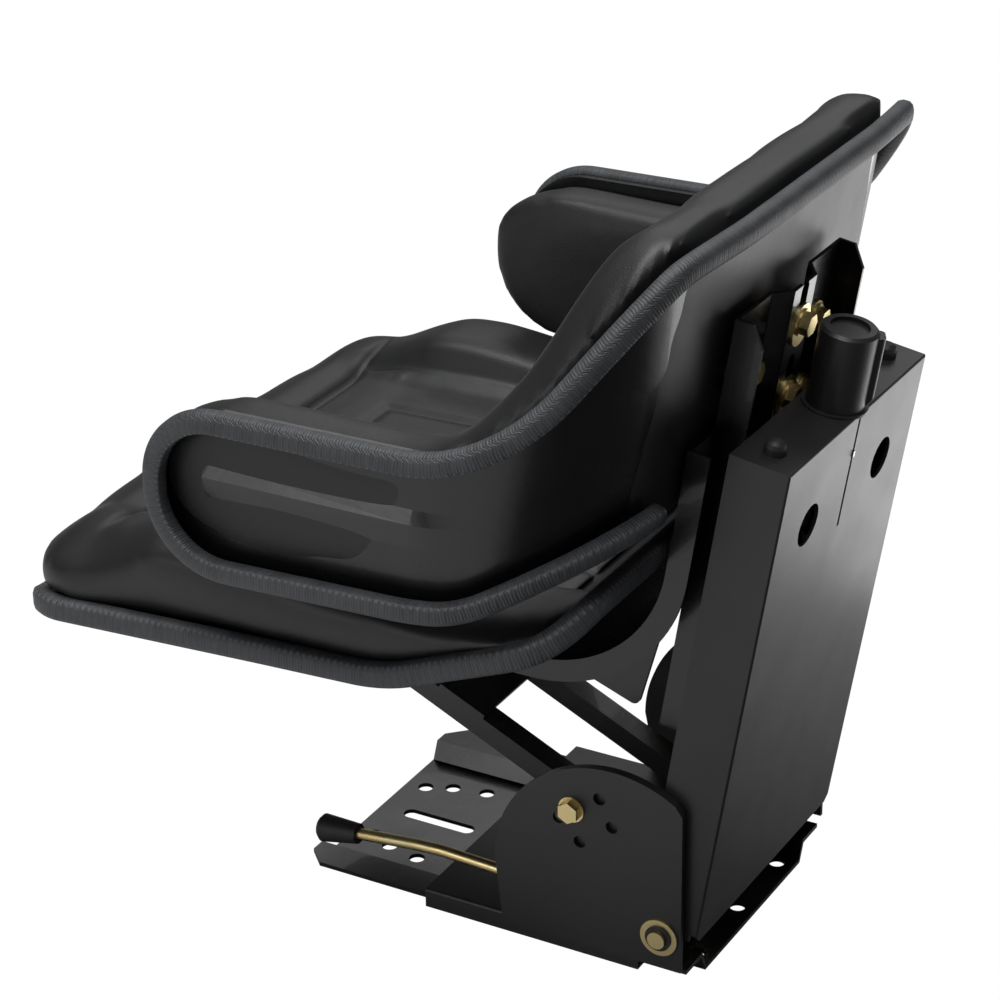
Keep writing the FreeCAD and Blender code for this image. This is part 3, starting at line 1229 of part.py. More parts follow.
def arm_bead(side, shift):
    """The ridge along one arm and round its rear corner, moved inward by shift, with a long lower flank."""
    halves = []
    for level, above, start, end in ((bead_low, bead_crest, 0, bead_proud), (bead_crest, bead_high, bead_proud, 0)):
        face = Part.Face(back_plan(back_recess + shift, 150, 620).slice(z_axis, level)[0])
        face.translate(x_axis * side * start)
        rise = above - level
        halves.append(face.extrude(Vector(side * (end - start), rise * tilt_sin / tilt_cos, rise)))
    corners = [(bead_front, bead_low - 1, 9), (bead_front, bead_high + 1, 9), (bead_rear, bead_high + 1, 0),
               (bead_rear, bead_low - 1, 0)]
    span = prism(outline(corners, "YZ", side * back_crease), x_axis * side * (back_half - back_crease))
    return join(halves).common(span)


beads = [arm_bead(side, 0).cut(back_plan(back_recess + back_sheet / 2, 149, 621)) for side in (1, -1)]
grooves = [arm_bead(side, back_sheet) for side in (1, -1)]
back_pan = join([back_pan] + beads + bosses).cut(boss_bores + grooves)
feature("back_pan", back_pan)

# Pad of the back and arms, crowned above the rim
pad_ring = back_plan(back_recess + back_sheet + seat_gap, 150, 640).cut(back_plan(back_recess + pad_thick, 149, 641))
feature("back_pad", pad_ring.common(back_outline(pad_crown, reach, pad_under)))

# Edge trim of the back: a strip over the rim
trim_ring = back_plan(-3, 150, 640).cut(back_plan(9, 149, 641))
strip = trim_ring.common(back_outline(4, reach)).cut(back_outline(-trim_wide + 4, reach + 10))
strip = strip.cut(back_plan(-0.3, 149, 641).cut(back_plan(back_recess + 2, 148, 642)).common(
    back_outline(0.3, reach)).cut(back_outline(-back_sheet - 0.3, reach + 10)))
strip = strip.cut(block((-135, -80, 300), (135, 80, back_low + 40)))
feature("back_trim", strip)

doc.recompute()

for thing in doc.Objects:
    if "Invalid" in thing.State or "Error" in thing.State:
        raise RuntimeError(thing.Label + " did not recompute")

os.makedirs("parts", exist_ok=True)
for thing in nodes:
    shape = thing.Shape
    if shape.isNull() or not shape.isValid():
        raise RuntimeError(thing.Label + " has no valid shape")
    shape.exportStep("parts/" + thing.Label + ".step")
    print(thing.Label, len(shape.Solids), round(shape.Volume / 1000, 1))
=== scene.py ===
import json
import math

import bmesh
import bpy
import numpy as np
from mathutils import Matrix, Vector


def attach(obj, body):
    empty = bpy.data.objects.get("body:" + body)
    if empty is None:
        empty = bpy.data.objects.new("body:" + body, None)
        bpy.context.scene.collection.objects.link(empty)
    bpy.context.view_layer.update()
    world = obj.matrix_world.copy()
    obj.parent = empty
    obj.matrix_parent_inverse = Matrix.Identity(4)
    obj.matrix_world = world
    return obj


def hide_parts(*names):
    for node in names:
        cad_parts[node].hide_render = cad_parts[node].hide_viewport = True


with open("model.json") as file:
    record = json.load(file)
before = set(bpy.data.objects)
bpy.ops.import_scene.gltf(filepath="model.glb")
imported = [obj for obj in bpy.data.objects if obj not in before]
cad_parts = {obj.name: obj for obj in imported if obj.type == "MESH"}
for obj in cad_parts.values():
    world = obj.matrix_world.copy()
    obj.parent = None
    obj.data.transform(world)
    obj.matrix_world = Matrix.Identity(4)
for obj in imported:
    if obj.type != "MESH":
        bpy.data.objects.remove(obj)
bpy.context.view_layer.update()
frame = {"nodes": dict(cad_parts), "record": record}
nodes = frame["nodes"]

# Camera
# Three-quarter view from behind on the sitter's left, a long lens from about two metres,
# with a slight roll as in the photograph.
azimuth = math.radians(119.65)
elevation = math.radians(25.56)
roll = math.radians(-0.83)
back = Vector((
    math.sin(azimuth) * math.cos(elevation),
    -math.cos(azimuth) * math.cos(elevation),
    math.sin(elevation),
))
level_right = (-back).cross(Vector((0, 0, 1))).normalized()
level_up = level_right.cross(-back)
right = math.cos(roll) * level_right + math.sin(roll) * level_up
up = math.cos(roll) * level_up - math.sin(roll) * level_right
camera_data = bpy.data.cameras.new("camera")
camera_data.sensor_width = 36.0
camera_data.lens = 113.58
camera_data.clip_end = 50.0
camera = bpy.data.objects.new("camera", camera_data)
bpy.context.collection.objects.link(camera)
camera_at = Vector((1.6339, 0.7512, 1.1646))
camera.matrix_world = Matrix((
    (right.x, up.x, back.x, camera_at.x),
    (right.y, up.y, back.y, camera_at.y),
    (right.z, up.z, back.z, camera_at.z),
    (0, 0, 0, 1),
))
scene = bpy.context.scene
scene.camera = camera
scene.render.resolution_x = 1000
scene.render.resolution_y = 1000
scene.view_settings.view_transform = "Standard"


# Shader helpers
# A socket that joins in arithmetic, and a material that grows by one node at a time.
class Wire:
    def __init__(self, finish, socket):
        self.finish = finish
        self.socket = socket

    def maths(self, operation, *others):
        values = (self,) + others
        sockets = {str(index): value for index, value in enumerate(values)}
        return self.finish.node("ShaderNodeMath", {"operation": operation}, sockets)

    def __add__(self, other):
        return self.maths("ADD", other)

    __radd__ = __add__

    def __mul__(self, other):
        return self.maths("MULTIPLY", other)

    __rmul__ = __mul__

    def __sub__(self, other):
        return self.maths("SUBTRACT", other)

    def __rsub__(self, other):
        return self.maths("MULTIPLY", -1.0).maths("ADD", other)


class Finish:
    def __init__(self, name, color, roughness, metallic=0.0, coat=0.0):
        self.material = bpy.data.materials.new(name)
        self.material.use_nodes = True
        self.tree = self.material.node_tree
        self.surface = self.tree.nodes["Principled BSDF"]
        self.set("Base Color", color)
        self.set("Roughness", roughness)
        self.set("Metallic", metallic)
        self.set("Coat Weight", coat)
        self.place = self.node("ShaderNodeTexCoord", {}, {}, "Object")

    def feed(self, socket, value):
        if isinstance(value, Wire):
            self.tree.links.new(value.socket, socket)
        elif isinstance(value, (tuple, list)):
            colour = len(value) == 3 and len(socket.default_value) == 4
            socket.default_value = (*value, 1.0) if colour else value
        else:
            socket.default_value = value

    def set(self, name, value):
        self.feed(self.surface.inputs[name], value)

    def node(self, kind, settings, sockets, output=0):
        made = self.tree.nodes.new(kind)
        for name, value in settings.items():
            setattr(made, name, value)
        for name, value in sockets.items():
            key = int(name) if name.isdigit() else name
            self.feed(made.inputs[key], value)
        return Wire(self, made.outputs[output])

    def noise(self, scale, detail=2.0):
        return self.node("ShaderNodeTexNoise", {}, {
            "Vector": self.place, "Scale": scale, "Detail": detail,
        })

    def blend(self, factor, first, second):
        return self.node("ShaderNodeMix", {"data_type": "RGBA"}, {
            "0": factor, "6": first, "7": second,
        }, 2)

    def bump(self, height, distance, strength):
        self.set("Normal", self.node("ShaderNodeBump", {}, {
            "Height": height, "Distance": distance, "Strength": strength,
        }))

    def paint(self, *names):
        for name in names:
            mesh = nodes[name].data
            mesh.materials.clear()
            mesh.materials.append(self.material)


# Vinyl
# Fine-grain black vinyl with a soft sheen and slight waves over the foam.
vinyl = Finish("black_vinyl", (0.010, 0.0103, 0.0106), 0.44)
grain = vinyl.node("ShaderNodeTexVoronoi", {}, {"Vector": vinyl.place, "Scale": 1150.0})
waves = vinyl.noise(16.0)
vinyl.set("Roughness", 0.37 + 0.12 * vinyl.noise(7.0) + 0.05 * grain)
vinyl.bump(grain * 0.05 + waves, 0.0022, 0.8)

# Edge strip
# Dark grey PVC strip with fine cross wrinkles and a row of light stitches, read from the length
# # and the profile place that are stored on the strips. Its colour carries random wear and also
# # painted shade in the wrinkle troughs with a painted highlight on their crests.
strip = Finish("edge_strip", (0.036, 0.039, 0.043), 0.55)
along = strip.node("ShaderNodeAttribute", {"attribute_name": "along"}, {}, 2)
across = strip.node("ShaderNodeAttribute", {"attribute_name": "across"}, {}, 2)
wobble = strip.noise(110.0, 4.0) * 9.0
ridge = (along * 3.1 + across * 0.7 + wobble).maths("SINE")
rib = (along * 1.15 + across * 0.5 + strip.noise(60.0) * 2.0).maths("SINE")
wear = strip.noise(70.0, 5.0)
stitch_length = 4.5
stitch_place = 3.0
dash = (along * (2 * math.pi / stitch_length)).maths("SINE").maths("GREATER_THAN", 0.1)
line = 1.0 - ((across - stitch_place).maths("ABSOLUTE") * 1.6).maths("MINIMUM", 1.0)
# Strip colour: random wear, plus painted shade and painted highlight that follow the ridge and rib
# waves.
wear_and_wrinkle_shade = (ridge * 0.14 + rib * 0.07 + 0.55 + (wear - 0.5) * 1.1).maths("MAXIMUM", 0.0)
wear_and_wrinkle_shade = wear_and_wrinkle_shade.maths("MINIMUM", 1.0)
plain = strip.blend(wear_and_wrinkle_shade, (0.020, 0.0212, 0.0232), (0.070, 0.074, 0.081))
strip.set("Base Color", strip.blend(dash * line * 0.5, plain, (0.16, 0.165, 0.17)))
strip.set("Roughness", 0.46 + wear * 0.2)
strip.bump(ridge * 0.3 + rib * 0.25 + wear, 0.0005, 0.7)

# Powder coat
# Satin black coat on the box and the side plates, with a very fine orange peel.
coat = Finish("powder_coat", (0.019, 0.0194, 0.0198), 0.42)
coat.set("Roughness", 0.36 + 0.10 * coat.noise(30.0))
coat.bump(coat.noise(700.0, 1.0), 0.00012, 0.35)

# Gloss paint
# Black paint on pressed sheet, glossier than the coat and a little uneven.
paint = Finish("black_paint", (0.0045, 0.0046, 0.0048), 0.24, coat=0.2)
paint.set("Roughness", 0.18 + 0.16 * paint.noise(24.0, 3.0))
paint.bump(paint.noise(140.0), 0.00025, 0.35)

# Yellow zinc
# Yellow passivated steel on bolts, washers, shaft and lever, with drifting pink and green tints.
zinc = Finish("yellow_zinc", (0.72, 0.55, 0.27), 0.3, metallic=1.0)
tint = zinc.noise(60.0, 3.0)
zinc.set("Base Color", zinc.blend(tint, (0.83, 0.58, 0.24), (0.66, 0.62, 0.36)))
zinc.set("Roughness", 0.22 + 0.2 * zinc.noise(140.0))

# Bright steel
# Plain zinc-plated steel inside the box.
steel = Finish("bright_steel", (0.45, 0.45, 0.46), 0.34, metallic=1.0)
steel.set("Roughness", 0.28 + 0.16 * steel.noise(120.0))

# Rubber and plastic
# Matt black rubber of grip and bumpers, and the smoother plastic of knob, rollers and glides.
rubber = Finish("black_rubber", (0.016, 0.016, 0.0165), 0.55)
rubber.bump(rubber.noise(500.0), 0.0002, 0.3)
plastic = Finish("black_plastic", (0.014, 0.014, 0.0145), 0.42)
plastic.bump(plastic.noise(420.0), 0.0002, 0.3)

# Finishes by slot
# Every CAD node gets the finish of its slot, and folded and cut sheet, bolts, knob and shaft get a
# small bevel.
finishes = {
    "satin_black_coat": coat,
    "gloss_black_paint": paint,
    "yellow_zinc": zinc,
    "bright_steel": steel,
    "black_rubber": rubber,
    "black_vinyl": vinyl,
    "trim_strip": strip,
    "black_plastic": plastic,
}
for entry in frame["record"]["subparts"]:
    finishes[entry["material_slot"]].paint(entry["node"])
bevelled = [
    "base_plate", "upper_slide", "side_plate_left", "side_plate_right", "tilt_plate_left",
    "tilt_plate_right", "box_shell", "back_bracket", "seat_carrier", "support_arms",
    "gusset_plates", "front_ears", "cross_plate", "tilt_bolts", "bracket_bolts", "weight_knob",
    "pivot_shaft", "roller_frame",
]
for name in bevelled:
    bevel = nodes[name].modifiers.new("edge", "BEVEL")
    bevel.width = 0.0006
    bevel.segments = 2
    bevel.limit_method = "ANGLE"
    bevel.angle_limit = math.radians(35)
    bevel.use_clamp_overlap = True

# Back pan
# The solid's own mesh. The ridge pressed into the arms is rounded along its crest and fades towards
# the corner of the back; the edges at its foot stay crisp.
back_shell = bpy.data.objects.new("pressed_back", nodes["back_pan"].data.copy())
bpy.context.collection.objects.link(back_shell)
shell_mesh = bmesh.new()
shell_mesh.from_mesh(back_shell.data)
layers = shell_mesh.edges.layers.float
weights = layers.get("bevel_weight_edge") or layers.new("bevel_weight_edge")
crest_level = 0.363
crest_reach = 0.0007
crest_rise = 0.004
crest_side = 0.2
crest_rear = -0.07
foot_side = 0.19
foot_low, foot_high = 0.342, 0.376
fold = math.radians(6)
level_slope = 0.2
fade_from = -0.122
fade_length = 0.042
crest = set()
for vertex in shell_mesh.verts:
    on_arm = abs(vertex.co.x) > crest_side and vertex.co.y < crest_rear
    if on_arm and abs(vertex.co.z - crest_level) < crest_reach:
        crest.add(vertex)
        faded = min(1.0, max(0.0, (vertex.co.y - fade_from) / fade_length))
        vertex.co.x -= math.copysign(crest_rise * faded, vertex.co.x)
for edge in shell_mesh.edges:
    first, second = edge.verts
    if first in crest and second in crest:
        edge[weights] = 1.0
    elif len(edge.link_faces) == 2 and edge.calc_face_angle() > fold:
        level = abs(first.co.z - second.co.z) < level_slope * edge.calc_length()
        if level and abs(first.co.x) > foot_side and foot_low < first.co.z < foot_high:
            edge.smooth = False
shell_mesh.to_mesh(back_shell.data)
shell_mesh.free()
rounding = back_shell.modifiers.new("crest", "BEVEL")
rounding.limit_method = "WEIGHT"
rounding.width = 0.005
rounding.segments = 5
rounding.use_clamp_overlap = False
for shell in (back_shell, nodes["seat_pan"]):
    even = shell.modifiers.new("even", "WEIGHTED_NORMAL")
    even.keep_sharp = True
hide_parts("back_pan")
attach(back_shell, "carriage")

# Leaning frame and swept strips
# The box, its carriage and the back lean by the tilt angle about the main shaft. The strips are
# swept along rounded paths that are drawn in the side view and in plan.
tilt = math.radians(9.38)
pivot_y, pivot_z = -0.0031, 0.0425


def lean_y(y, z):
    """The depth of a side-view point in the leaning frame."""
    return (y - pivot_y) * math.cos(tilt) - (z - pivot_z) * math.sin(tilt)


def rounded(corners, step):
    """A polyline through side-view corners (u, v, radius), arcs included, about step apart."""
    points = []
    for index, (u, v, radius) in enumerate(corners):
        here = Vector((u, v))
        if index in (0, len(corners) - 1) or radius <= 0:
            points.append(here)
            continue
        before = (Vector(corners[index - 1][:2]) - here).normalized()
        after = (Vector(corners[index + 1][:2]) - here).normalized()
        half = before.angle(after) / 2
        reach = radius / math.tan(half)
        start = here + before * reach
        centre = here + (before + after).normalized() * radius / math.sin(half)
        sweep = math.pi - 2 * half
        turn = 1 if before.cross(after) < 0 else -1
        count = max(2, int(radius * sweep / step))
        first = start - centre
        for part in range(count + 1):
            angle = turn * sweep * part / count
            points.append(centre + Vector((
                first.x * math.cos(angle) - first.y * math.sin(angle),
                first.x * math.sin(angle) + first.y * math.cos(angle),
            )))
    return points


def resample(points, step):
    """The same path with points a fixed step apart."""
    points = [Vector(point) for point in points]
    lengths = [0.0]
    for before, after in zip(points, points[1:]):
        lengths.append(lengths[-1] + (after - before).length)
    count = max(2, int(round(lengths[-1] / step)))
    result = []
    index = 0
    for number in range(count + 1):
        goal = lengths[-1] * number / count
        while index < len(points) - 2 and lengths[index + 1] < goal:
            index += 1
        run = lengths[index + 1] - lengths[index]
        share = 0.0 if run == 0 else (goal - lengths[index]) / run
        result.append(points[index].lerp(points[index + 1], min(1.0, share)))
    return result


def smoothed(points, rounds):
    """Softens the corners of a path, its ends held."""
    for _ in range(rounds):
        points = [points[0]] + [
            (before + here * 2 + after) / 4
            for before, here, after in zip(points, points[1:], points[2:])
        ] + [points[-1]]
    return points


def sweep(name, path, outward, profile, closed):
    """A strip swept along path, its profile given as (out, side) in metres: out along the outward
    direction, side square to it and to the path. Length and profile place are kept for the material."""
    count = len(path)
    verts, faces, alongs, acrosses = [], [], [], []
    walked = 0.0
    for index, point in enumerate(path):
        before = path[index - 1] if index or closed else path[index]
        after = path[(index + 1) % count] if index < count - 1 or closed else path[index]
        tangent = (after - before).normalized()
        out = outward[index]
        out = (out - tangent * out.dot(tangent)).normalized()
        side = tangent.cross(out)
        if index:
            walked += (point - path[index - 1]).length
        for number, (n, b) in enumerate(profile):
            verts.append(point + out * n + side * b)
            alongs.append(walked * 1000)
            acrosses.append(number)
    size = len(profile)
    for index in range(count if closed else count - 1):
        following = (index + 1) % count
        for number in range(size):
            beside = (number + 1) % size
            faces.append((index * size + number, index * size + beside,
                          following * size + beside, following * size + number))
    if not closed:
        faces.append(tuple(reversed(range(size))))
        faces.append(tuple((count - 1) * size + number for number in range(size)))
    mesh = bpy.data.meshes.new(name)
    mesh.from_pydata(verts, [], faces)
    for label, values in (("along", alongs), ("across", acrosses)):
        mesh.attributes.new(label, "FLOAT", "POINT").data.foreach_set("value", values)
    mesh.shade_smooth()
    mesh.update()
    thing = bpy.data.objects.new(name, mesh)
    bpy.context.collection.objects.link(thing)
    return thing


# Back trim
# The strip over the rim of the back pan: from under one side of the back, round the arm's tip,
# over the top and down the other side.
path_step = 0.002
back_half, back_corner, back_rim, back_crease = 0.243, 0.120, -0.034, 0.088
facet = math.radians(3)
side_rear = back_rim - (back_half - back_crease) * math.tan(facet)
plan_corners = [
    (back_half, -0.42, 0), (back_half, side_rear, back_corner), (back_crease, back_rim, 0),
]
plan = np.array(resample(rounded(plan_corners, path_step), path_step))
plan_way = np.gradient(plan, axis=0)
rim_corners = [
    (0.080, 0.357, 0), (0.016, 0.357, 0.030), (-0.075, 0.309, 0.080), (-0.285, 0.3015, 0.050),
    (-0.285, 0.408, 0.050), (-0.050, 0.411, 0.120), (0.036, 0.526, 0.014), (0.080, 0.526, 0),
]
lower_end = 0.1355
lower_run_top = 0.4
half_rim = []
half_out = []
for point in resample(rounded(rim_corners, path_step), path_step):
    depth = lean_y(point.x, point.y)
    if depth > back_rim:
        continue
    wide = float(np.interp(depth, plan[:, 1], plan[:, 0]))
    if wide < lower_end and point.y < lower_run_top:
        continue
    out_x = float(np.interp(depth, plan[:, 1], plan_way[:, 1]))
    out_y = -float(np.interp(depth, plan[:, 1], plan_way[:, 0]))
    half_rim.append(Vector((wide, point.x, point.y)))
    half_out.append(Vector((out_x, out_y * math.cos(tilt), -out_y * math.sin(tilt))).normalized())
top_end = half_rim[-1]
flat_out = Vector((0, math.cos(tilt), -math.sin(tilt)))
half_step = 0.001
top_steps = int(top_end.x / half_step)
top_run = [
    Vector((top_end.x * (1 - 2 * number / top_steps), top_end.y, top_end.z))
    for number in range(1, top_steps)
]
mirror = Vector((-1, 1, 1))
rim = half_rim + top_run + [point * mirror for point in reversed(half_rim)]
rim_out = half_out + [flat_out] * len(top_run) + [point * mirror for point in reversed(half_out)]
smoothing_rounds = 6
rim = smoothed(rim, smoothing_rounds)
rim_out = smoothed(rim_out, smoothing_rounds)
band = [
    (0.0030, 0.0002), (0.0036, 0.0030), (0.0037, 0.0066), (0.0032, 0.0092), (0.0016, 0.0100),
    (-0.0040, 0.0100), (-0.0066, 0.0094), (-0.0078, 0.0078), (-0.0084, 0.0040), (-0.0086, 0.0000),
    (-0.0076, -0.0028), (-0.0044, -0.0041), (-0.0004, -0.0038), (0.0018, -0.0022),
]
back_strip = sweep("back_edge_strip", rim, rim_out, band, False)
back_strip.data.materials.append(strip.material)
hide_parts("back_trim")
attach(back_strip, "carriage")

# Seat trim
# The same kind of strip round the edge of the seat pan, following its dropped front and raised rear.
pan_side = np.array(rounded([
    (-0.448, 0.186, 0), (-0.404, 0.231, 0.022), (-0.230, 0.240, 0.300), (-0.140, 0.244, 0.120),
    (-0.030, 0.288, 0.060), (0.010, 0.342, 0),
], path_step))
pan_corners = [
    (0.0, -0.016, 0), (0.212, -0.016, 0.045), (0.212, -0.410, 0.032), (0.0, -0.428, 0.9),
    (-0.212, -0.410, 0.032), (-0.212, -0.016, 0.045), (0.0, -0.016, 0),
]
pan_edge = []
for point in resample(rounded(pan_corners, path_step), path_step)[:-1]:
    level = float(np.interp(point.y, pan_side[:, 0], pan_side[:, 1]))
    pan_edge.append(Vector((point.x, point.y, level)))
pan_out = []
for index, point in enumerate(pan_edge):
    way = pan_edge[(index + 1) % len(pan_edge)] - pan_edge[index - 1]
    pan_out.append(Vector((-way.y, way.x, 0)).normalized())
pan_band = [
    (0.0066, -0.0050), (0.0073, -0.0020), (0.0073, 0.0050), (0.0062, 0.0080), (0.0030, 0.0094),
    (-0.0020, 0.0092), (-0.0046, 0.0076), (-0.0050, 0.0040), (-0.0050, -0.0030), (-0.0040, -0.0054),
    (0.0000, -0.0064), (0.0044, -0.0062),
]
pan_strip = sweep("seat_edge_strip", pan_edge, pan_out, pan_band, True)
pan_strip.data.materials.append(strip.material)
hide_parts("seat_trim")
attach(pan_strip, "carriage")


def applied(thing):
    """The thing's mesh with its modifiers applied."""
    depsgraph = bpy.context.evaluated_depsgraph_get()
    return bpy.data.meshes.new_from_object(thing.evaluated_get(depsgraph))


def positions(mesh):
    """The mesh's points as rows of an array."""
    return np.array([vertex.co[:] for vertex in mesh.vertices])


def soften(name, node, shape, crease=None):
    """A padded piece from a CAD solid: remeshed, shaped, blown up as cloth, smoothed and creased."""
    thing = bpy.data.objects.new(name, nodes[node].data.copy())
    bpy.context.collection.objects.link(thing)
    bpy.context.view_layer.objects.active = thing
    remesh = thing.modifiers.new("grid", "REMESH")
    remesh.mode = "VOXEL"
    remesh.voxel_size = 0.005
    smooth = thing.modifiers.new("soft", "SMOOTH")
    smooth.factor = 0.5
    smooth.iterations = 8
    fixed = applied(thing)
    thing.modifiers.clear()
    thing.data = fixed
    rest = shape(positions(fixed))
    fixed.vertices.foreach_set("co", rest.ravel())
    fixed.update()
    cloth = thing.modifiers.new("cloth", "CLOTH")
    cloth.settings.quality = 5
    cloth.settings.mass = 0.3
    cloth.settings.tension_stiffness = 30
    cloth.settings.compression_stiffness = 30
    cloth.settings.bending_stiffness = 2
    cloth.settings.use_pressure = True
    cloth.settings.uniform_pressure_force = 3.0
    cloth.settings.effector_weights.gravity = 0
    last_frame = 20
    cloth.point_cache.frame_start = 1
    cloth.point_cache.frame_end = last_frame
    for number in range(1, last_frame + 1):
        scene.frame_set(number)
    moved = positions(applied(thing)) - rest
    thing.modifiers.clear()
    farthest = 0.003
    size = np.linalg.norm(moved, axis=1, keepdims=True)
    moved *= np.minimum(1.0, farthest / np.maximum(size, 1e-9))
    fixed.vertices.foreach_set("co", (rest + moved).ravel())
    fixed.update()
    settle = thing.modifiers.new("settle", "SMOOTH")
    settle.factor = 0.5
    settle.iterations = 16
    finer = thing.modifiers.new("finer", "SUBSURF")
    finer.levels = 1
    fine = applied(thing)
    thing.modifiers.clear()
    thing.data = fine
    if crease:
        fine.vertices.foreach_set("co", crease(positions(fine)).ravel())
        fine.update()
    fine.shade_smooth()
    fine.materials.clear()
    fine.materials.append(vinyl.material)
    return thing


def ease(values, low, high):
    """A smooth step from 0 at low to 1 at high."""
    share = np.clip((values - low) / (high - low), 0.0, 1.0)
    return share * share * (3 - 2 * share)


def level_at(table, y):
    """The height at y, read from rows of (y, height)."""
    return np.interp(y, table[:, 0], table[:, 1])


# Back pad
# Foam under vinyl that fills the wrap-around pan. Its top follows the rim and stands a little
# above it over the back, level beside the rim and falling to the sitter's side.
pad_line = np.array(resample(rounded([
    (-0.300, 0.4165, 0), (-0.054, 0.419, 0.112), (0.032, 0.534, 0.022), (0.080, 0.534, 0),
], path_step), path_step))
fine_step = 0.0005
fine_plan = np.array(resample(rounded(plan_corners, fine_step), fine_step))
upper_run = 0.405
rim_top = np.array([
    (lean_y(point.y, point.z), point.z) for point in half_rim if point.z > upper_run
])
pad_base = 0.375
under_rim = 0.003
rise_over_back = 0.013
fall_to_sitter = 0.016


def pad_shape(points):
    """Levels the pad's top across its thickness, at the rim's own height beside it."""
    x, y, z = points.T
    depth = lean_y(y, z)
    nearest = np.zeros(len(x), int)
    closest = np.full(len(x), 1e9)
    for index, (wide, deep) in enumerate(fine_plan):
        gap = np.hypot(np.abs(x) - wide, depth - deep)
        nearest[gap < closest] = index
        closest = np.minimum(gap, closest)
    beside = fine_plan[nearest, 1]
    inward = np.where(np.abs(x) < back_crease, back_rim - depth, closest)
    over_back = ease(beside, -0.200, -0.080)
    goal = level_at(rim_top, beside) - under_rim + rise_over_back * over_back
    goal = goal - fall_to_sitter * over_back * ease(inward, 0.034, 0.062) ** 2
    share = np.maximum(z - pad_base, 0.0) / (level_at(pad_line, y) - pad_base)
    raised = np.where(z > pad_base, pad_base + share * (goal - pad_base), z)
    return np.stack([x, y + (raised - z) * math.tan(tilt), raised], axis=1)


back_pad = soften("back_cushion", "back_pad", pad_shape)
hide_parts("back_pad")
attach(back_pad, "carriage")

# Seat cushion
# Foam under vinyl: a front roll, a seam behind it, raised bolsters and a lower insert between them.
# Side views from front to rear: the heights wanted, those of the solid, and its underside.
roll_side = np.array([
    (-0.430, 0.262), (-0.410, 0.266), (-0.395, 0.272), (-0.380, 0.274), (-0.368, 0.276),
    (-0.355, 0.280), (-0.335, 0.290), (-0.312, 0.299), (-0.285, 0.300), (-0.250, 0.297),
    (-0.200, 0.292), (-0.070, 0.294), (0.0, 0.300),
])
insert_side = np.array([
    (-0.430, 0.262), (-0.410, 0.265), (-0.395, 0.268), (-0.380, 0.266), (-0.369, 0.262),
    (-0.355, 0.266), (-0.330, 0.267), (-0.200, 0.270), (-0.110, 0.273), (-0.070, 0.279),
    (0.0, 0.292),
])
cad_bolster = np.array([
    (-0.430, 0.268), (-0.410, 0.272), (-0.370, 0.278), (-0.310, 0.280), (-0.210, 0.284),
    (-0.070, 0.294), (0.0, 0.300),
])
cad_insert = np.array([
    (-0.430, 0.268), (-0.410, 0.272), (-0.350, 0.279), (-0.330, 0.269), (-0.310, 0.265),
    (-0.170, 0.270), (-0.070, 0.279), (0.0, 0.292),
])
under_side = np.array([
    (-0.430, 0.229), (-0.350, 0.238), (-0.150, 0.246), (-0.110, 0.258), (-0.070, 0.274),
    (0.0, 0.290),
])
shoulder_drop = 0.008
thinnest = 0.01


def seat_shape(points):
    """Moves the cushion's upper side from its plain CAD profile to rolls, bolsters and insert."""
    x, y, z = points.T
    side = ease(np.abs(x), 0.126, 0.152)
    had = level_at(cad_insert, y) * (1 - side) + level_at(cad_bolster, y) * side
    want = level_at(insert_side, y) * (1 - side) + level_at(roll_side, y) * side
    want = want - shoulder_drop * ease(np.abs(x), 0.180, 0.216) ** 2
    low = level_at(under_side, y)
    weight = np.clip((z - low) / np.maximum(had - low, thinnest), 0.0, 1.0)
    return np.stack([x, y, z + (want - had) * weight], axis=1)


def seat_crease(points):
    """Sewn creases: behind the front roll, beside the insert and round its inner panel."""
    x, y, z = points.T
    seam_depth = 0.0052
    seam_width = 0.0042
    roll_seam = -0.369
    insert_seam = 0.139
    panel_half, panel_front = 0.088, -0.318
    panel_seam_width = 0.0046
    upper = ease(z, 0.246, 0.256)
    behind_roll = np.exp(-((y - roll_seam) / seam_width) ** 2) * (1 - ease(np.abs(x), 0.150, 0.190))
    beside = np.exp(-((np.abs(x) - insert_seam) / seam_width) ** 2) * ease(y, -0.372, -0.366)
    ring = np.maximum(np.abs(x) - panel_half, panel_front - y)
    inner = np.exp(-(ring / panel_seam_width) ** 2) * 0.5
    deepest = np.maximum(np.maximum(behind_roll, beside), inner)
    return np.stack([x, y, z - upper * seam_depth * deepest], axis=1)


seat_pad = soften("seat_pad", "seat_cushion", seat_shape, seat_crease)
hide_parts("seat_cushion")
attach(seat_pad, "carriage")
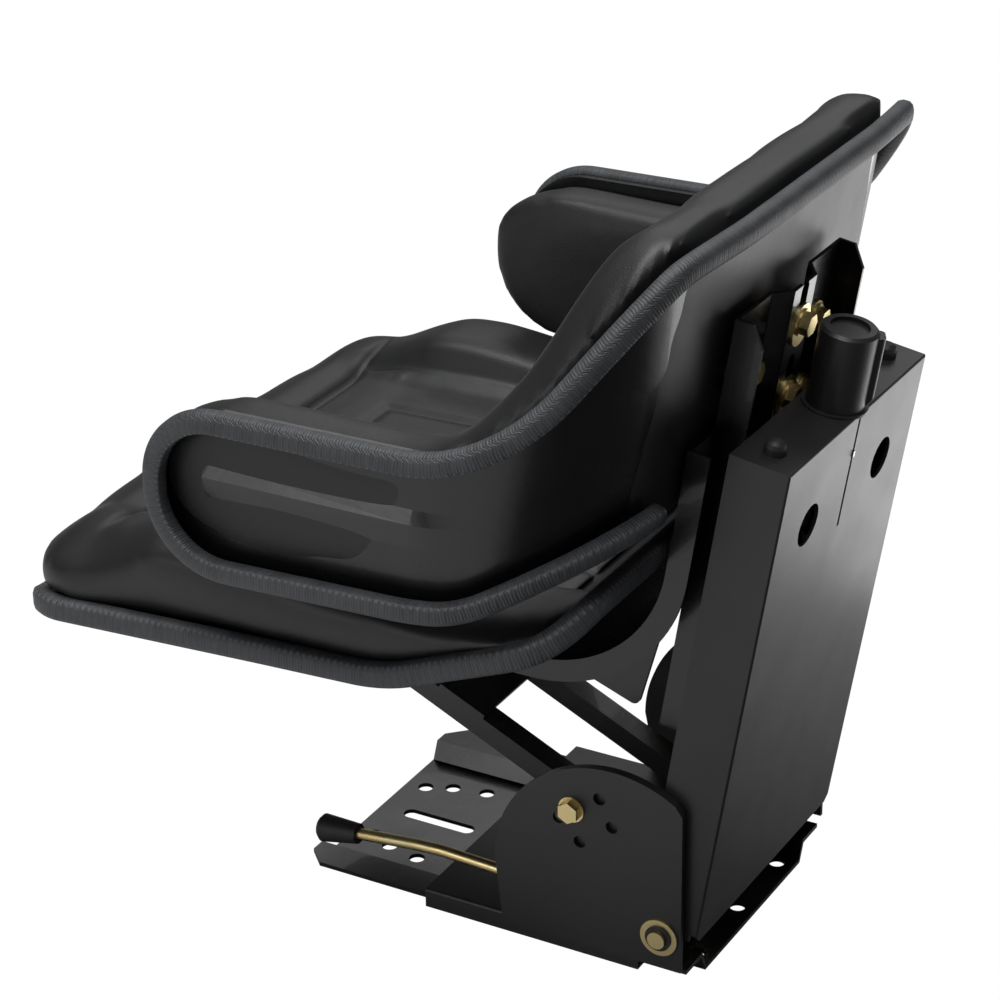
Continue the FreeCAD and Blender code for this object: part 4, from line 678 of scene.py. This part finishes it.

# Stage
# A floor and a world that are seen pure white. In light and reflections the world is dim, and the
# # floor carries a painted shadow behind the seat: a dark patch where the back pan's side mirrors it.
reach, below = 30, -0.0005
floor_corners = [
    (-reach, -reach, below), (reach, -reach, below), (reach, reach, below), (-reach, reach, below),
]
floor_mesh = bpy.data.meshes.new("floor")
floor_mesh.from_pydata(floor_corners, [], [(0, 1, 2, 3)])
floor = bpy.data.objects.new("floor", floor_mesh)
bpy.context.collection.objects.link(floor)
ground = Finish("white_floor", (0.9, 0.9, 0.9), 1.0)
seen = ground.node("ShaderNodeLightPath", {}, {}, "Is Camera Ray")
ground.set("Emission Color", ground.blend(seen, (0.0, 0.0, 0.0), (1.0, 1.0, 1.0)))
ground.set("Emission Strength", 1.0)
# Painted shadow: the floor's colour in light and reflections is darkened in a disc round the seat's
# rear.
painted_shadow_middle = (0.25, 0.50, 0.0)
painted_shadow_radius = 0.42
painted_shadow_darkest = 0.06
away = ground.node("ShaderNodeVectorMath", {"operation": "DISTANCE"}, {
    "0": ground.place, "1": painted_shadow_middle,
}, 1)
shade = ((away - painted_shadow_radius) * 6.0).maths("MAXIMUM", painted_shadow_darkest).maths("MINIMUM", 1.0)
lit = ground.blend(shade, (0.0, 0.0, 0.0), (0.8, 0.8, 0.8))
ground.set("Base Color", ground.blend(seen, lit, (0.0, 0.0, 0.0)))
floor_mesh.materials.append(ground.material)
world = bpy.data.worlds.new("white_room")
scene.world = world
world.use_nodes = True
sky = world.node_tree.nodes["Background"]
path = world.node_tree.nodes.new("ShaderNodeLightPath")
mix = world.node_tree.nodes.new("ShaderNodeMix")
mix.data_type = "RGBA"
mix.inputs[6].default_value = (0.12, 0.12, 0.125, 1)
mix.inputs[7].default_value = (1, 1, 1, 1)
world.node_tree.links.new(path.outputs["Is Camera Ray"], mix.inputs[0])
world.node_tree.links.new(mix.outputs[2], sky.inputs[0])


def softbox(name, place, aim, width, height, power):
    """A rectangular area light turned to its aim."""
    data = bpy.data.lights.new(name, "AREA")
    data.shape = "RECTANGLE"
    data.size = width
    data.size_y = height
    data.energy = power
    lamp = bpy.data.objects.new(name, data)
    bpy.context.collection.objects.link(lamp)
    lamp.location = place
    lamp.rotation_euler = (Vector(aim) - Vector(place)).to_track_quat("-Z", "Y").to_euler()


softbox("top_light", (0.4, -0.3, 2.4), (0, -0.15, 0.3), 1.8, 1.4, 50)
softbox("far_wall", (-2.4, -0.9, 2.4), (0, -0.15, 0.4), 2.6, 1.6, 18)
softbox("side_light", (2.3, -1.0, 0.9), (0, -0.15, 0.25), 1.0, 1.0, 8)
softbox("floor_card", (-1.12, 0.50, 0.004), (-1.12, 0.50, 1.0), 1.4, 1.0, 9.5)
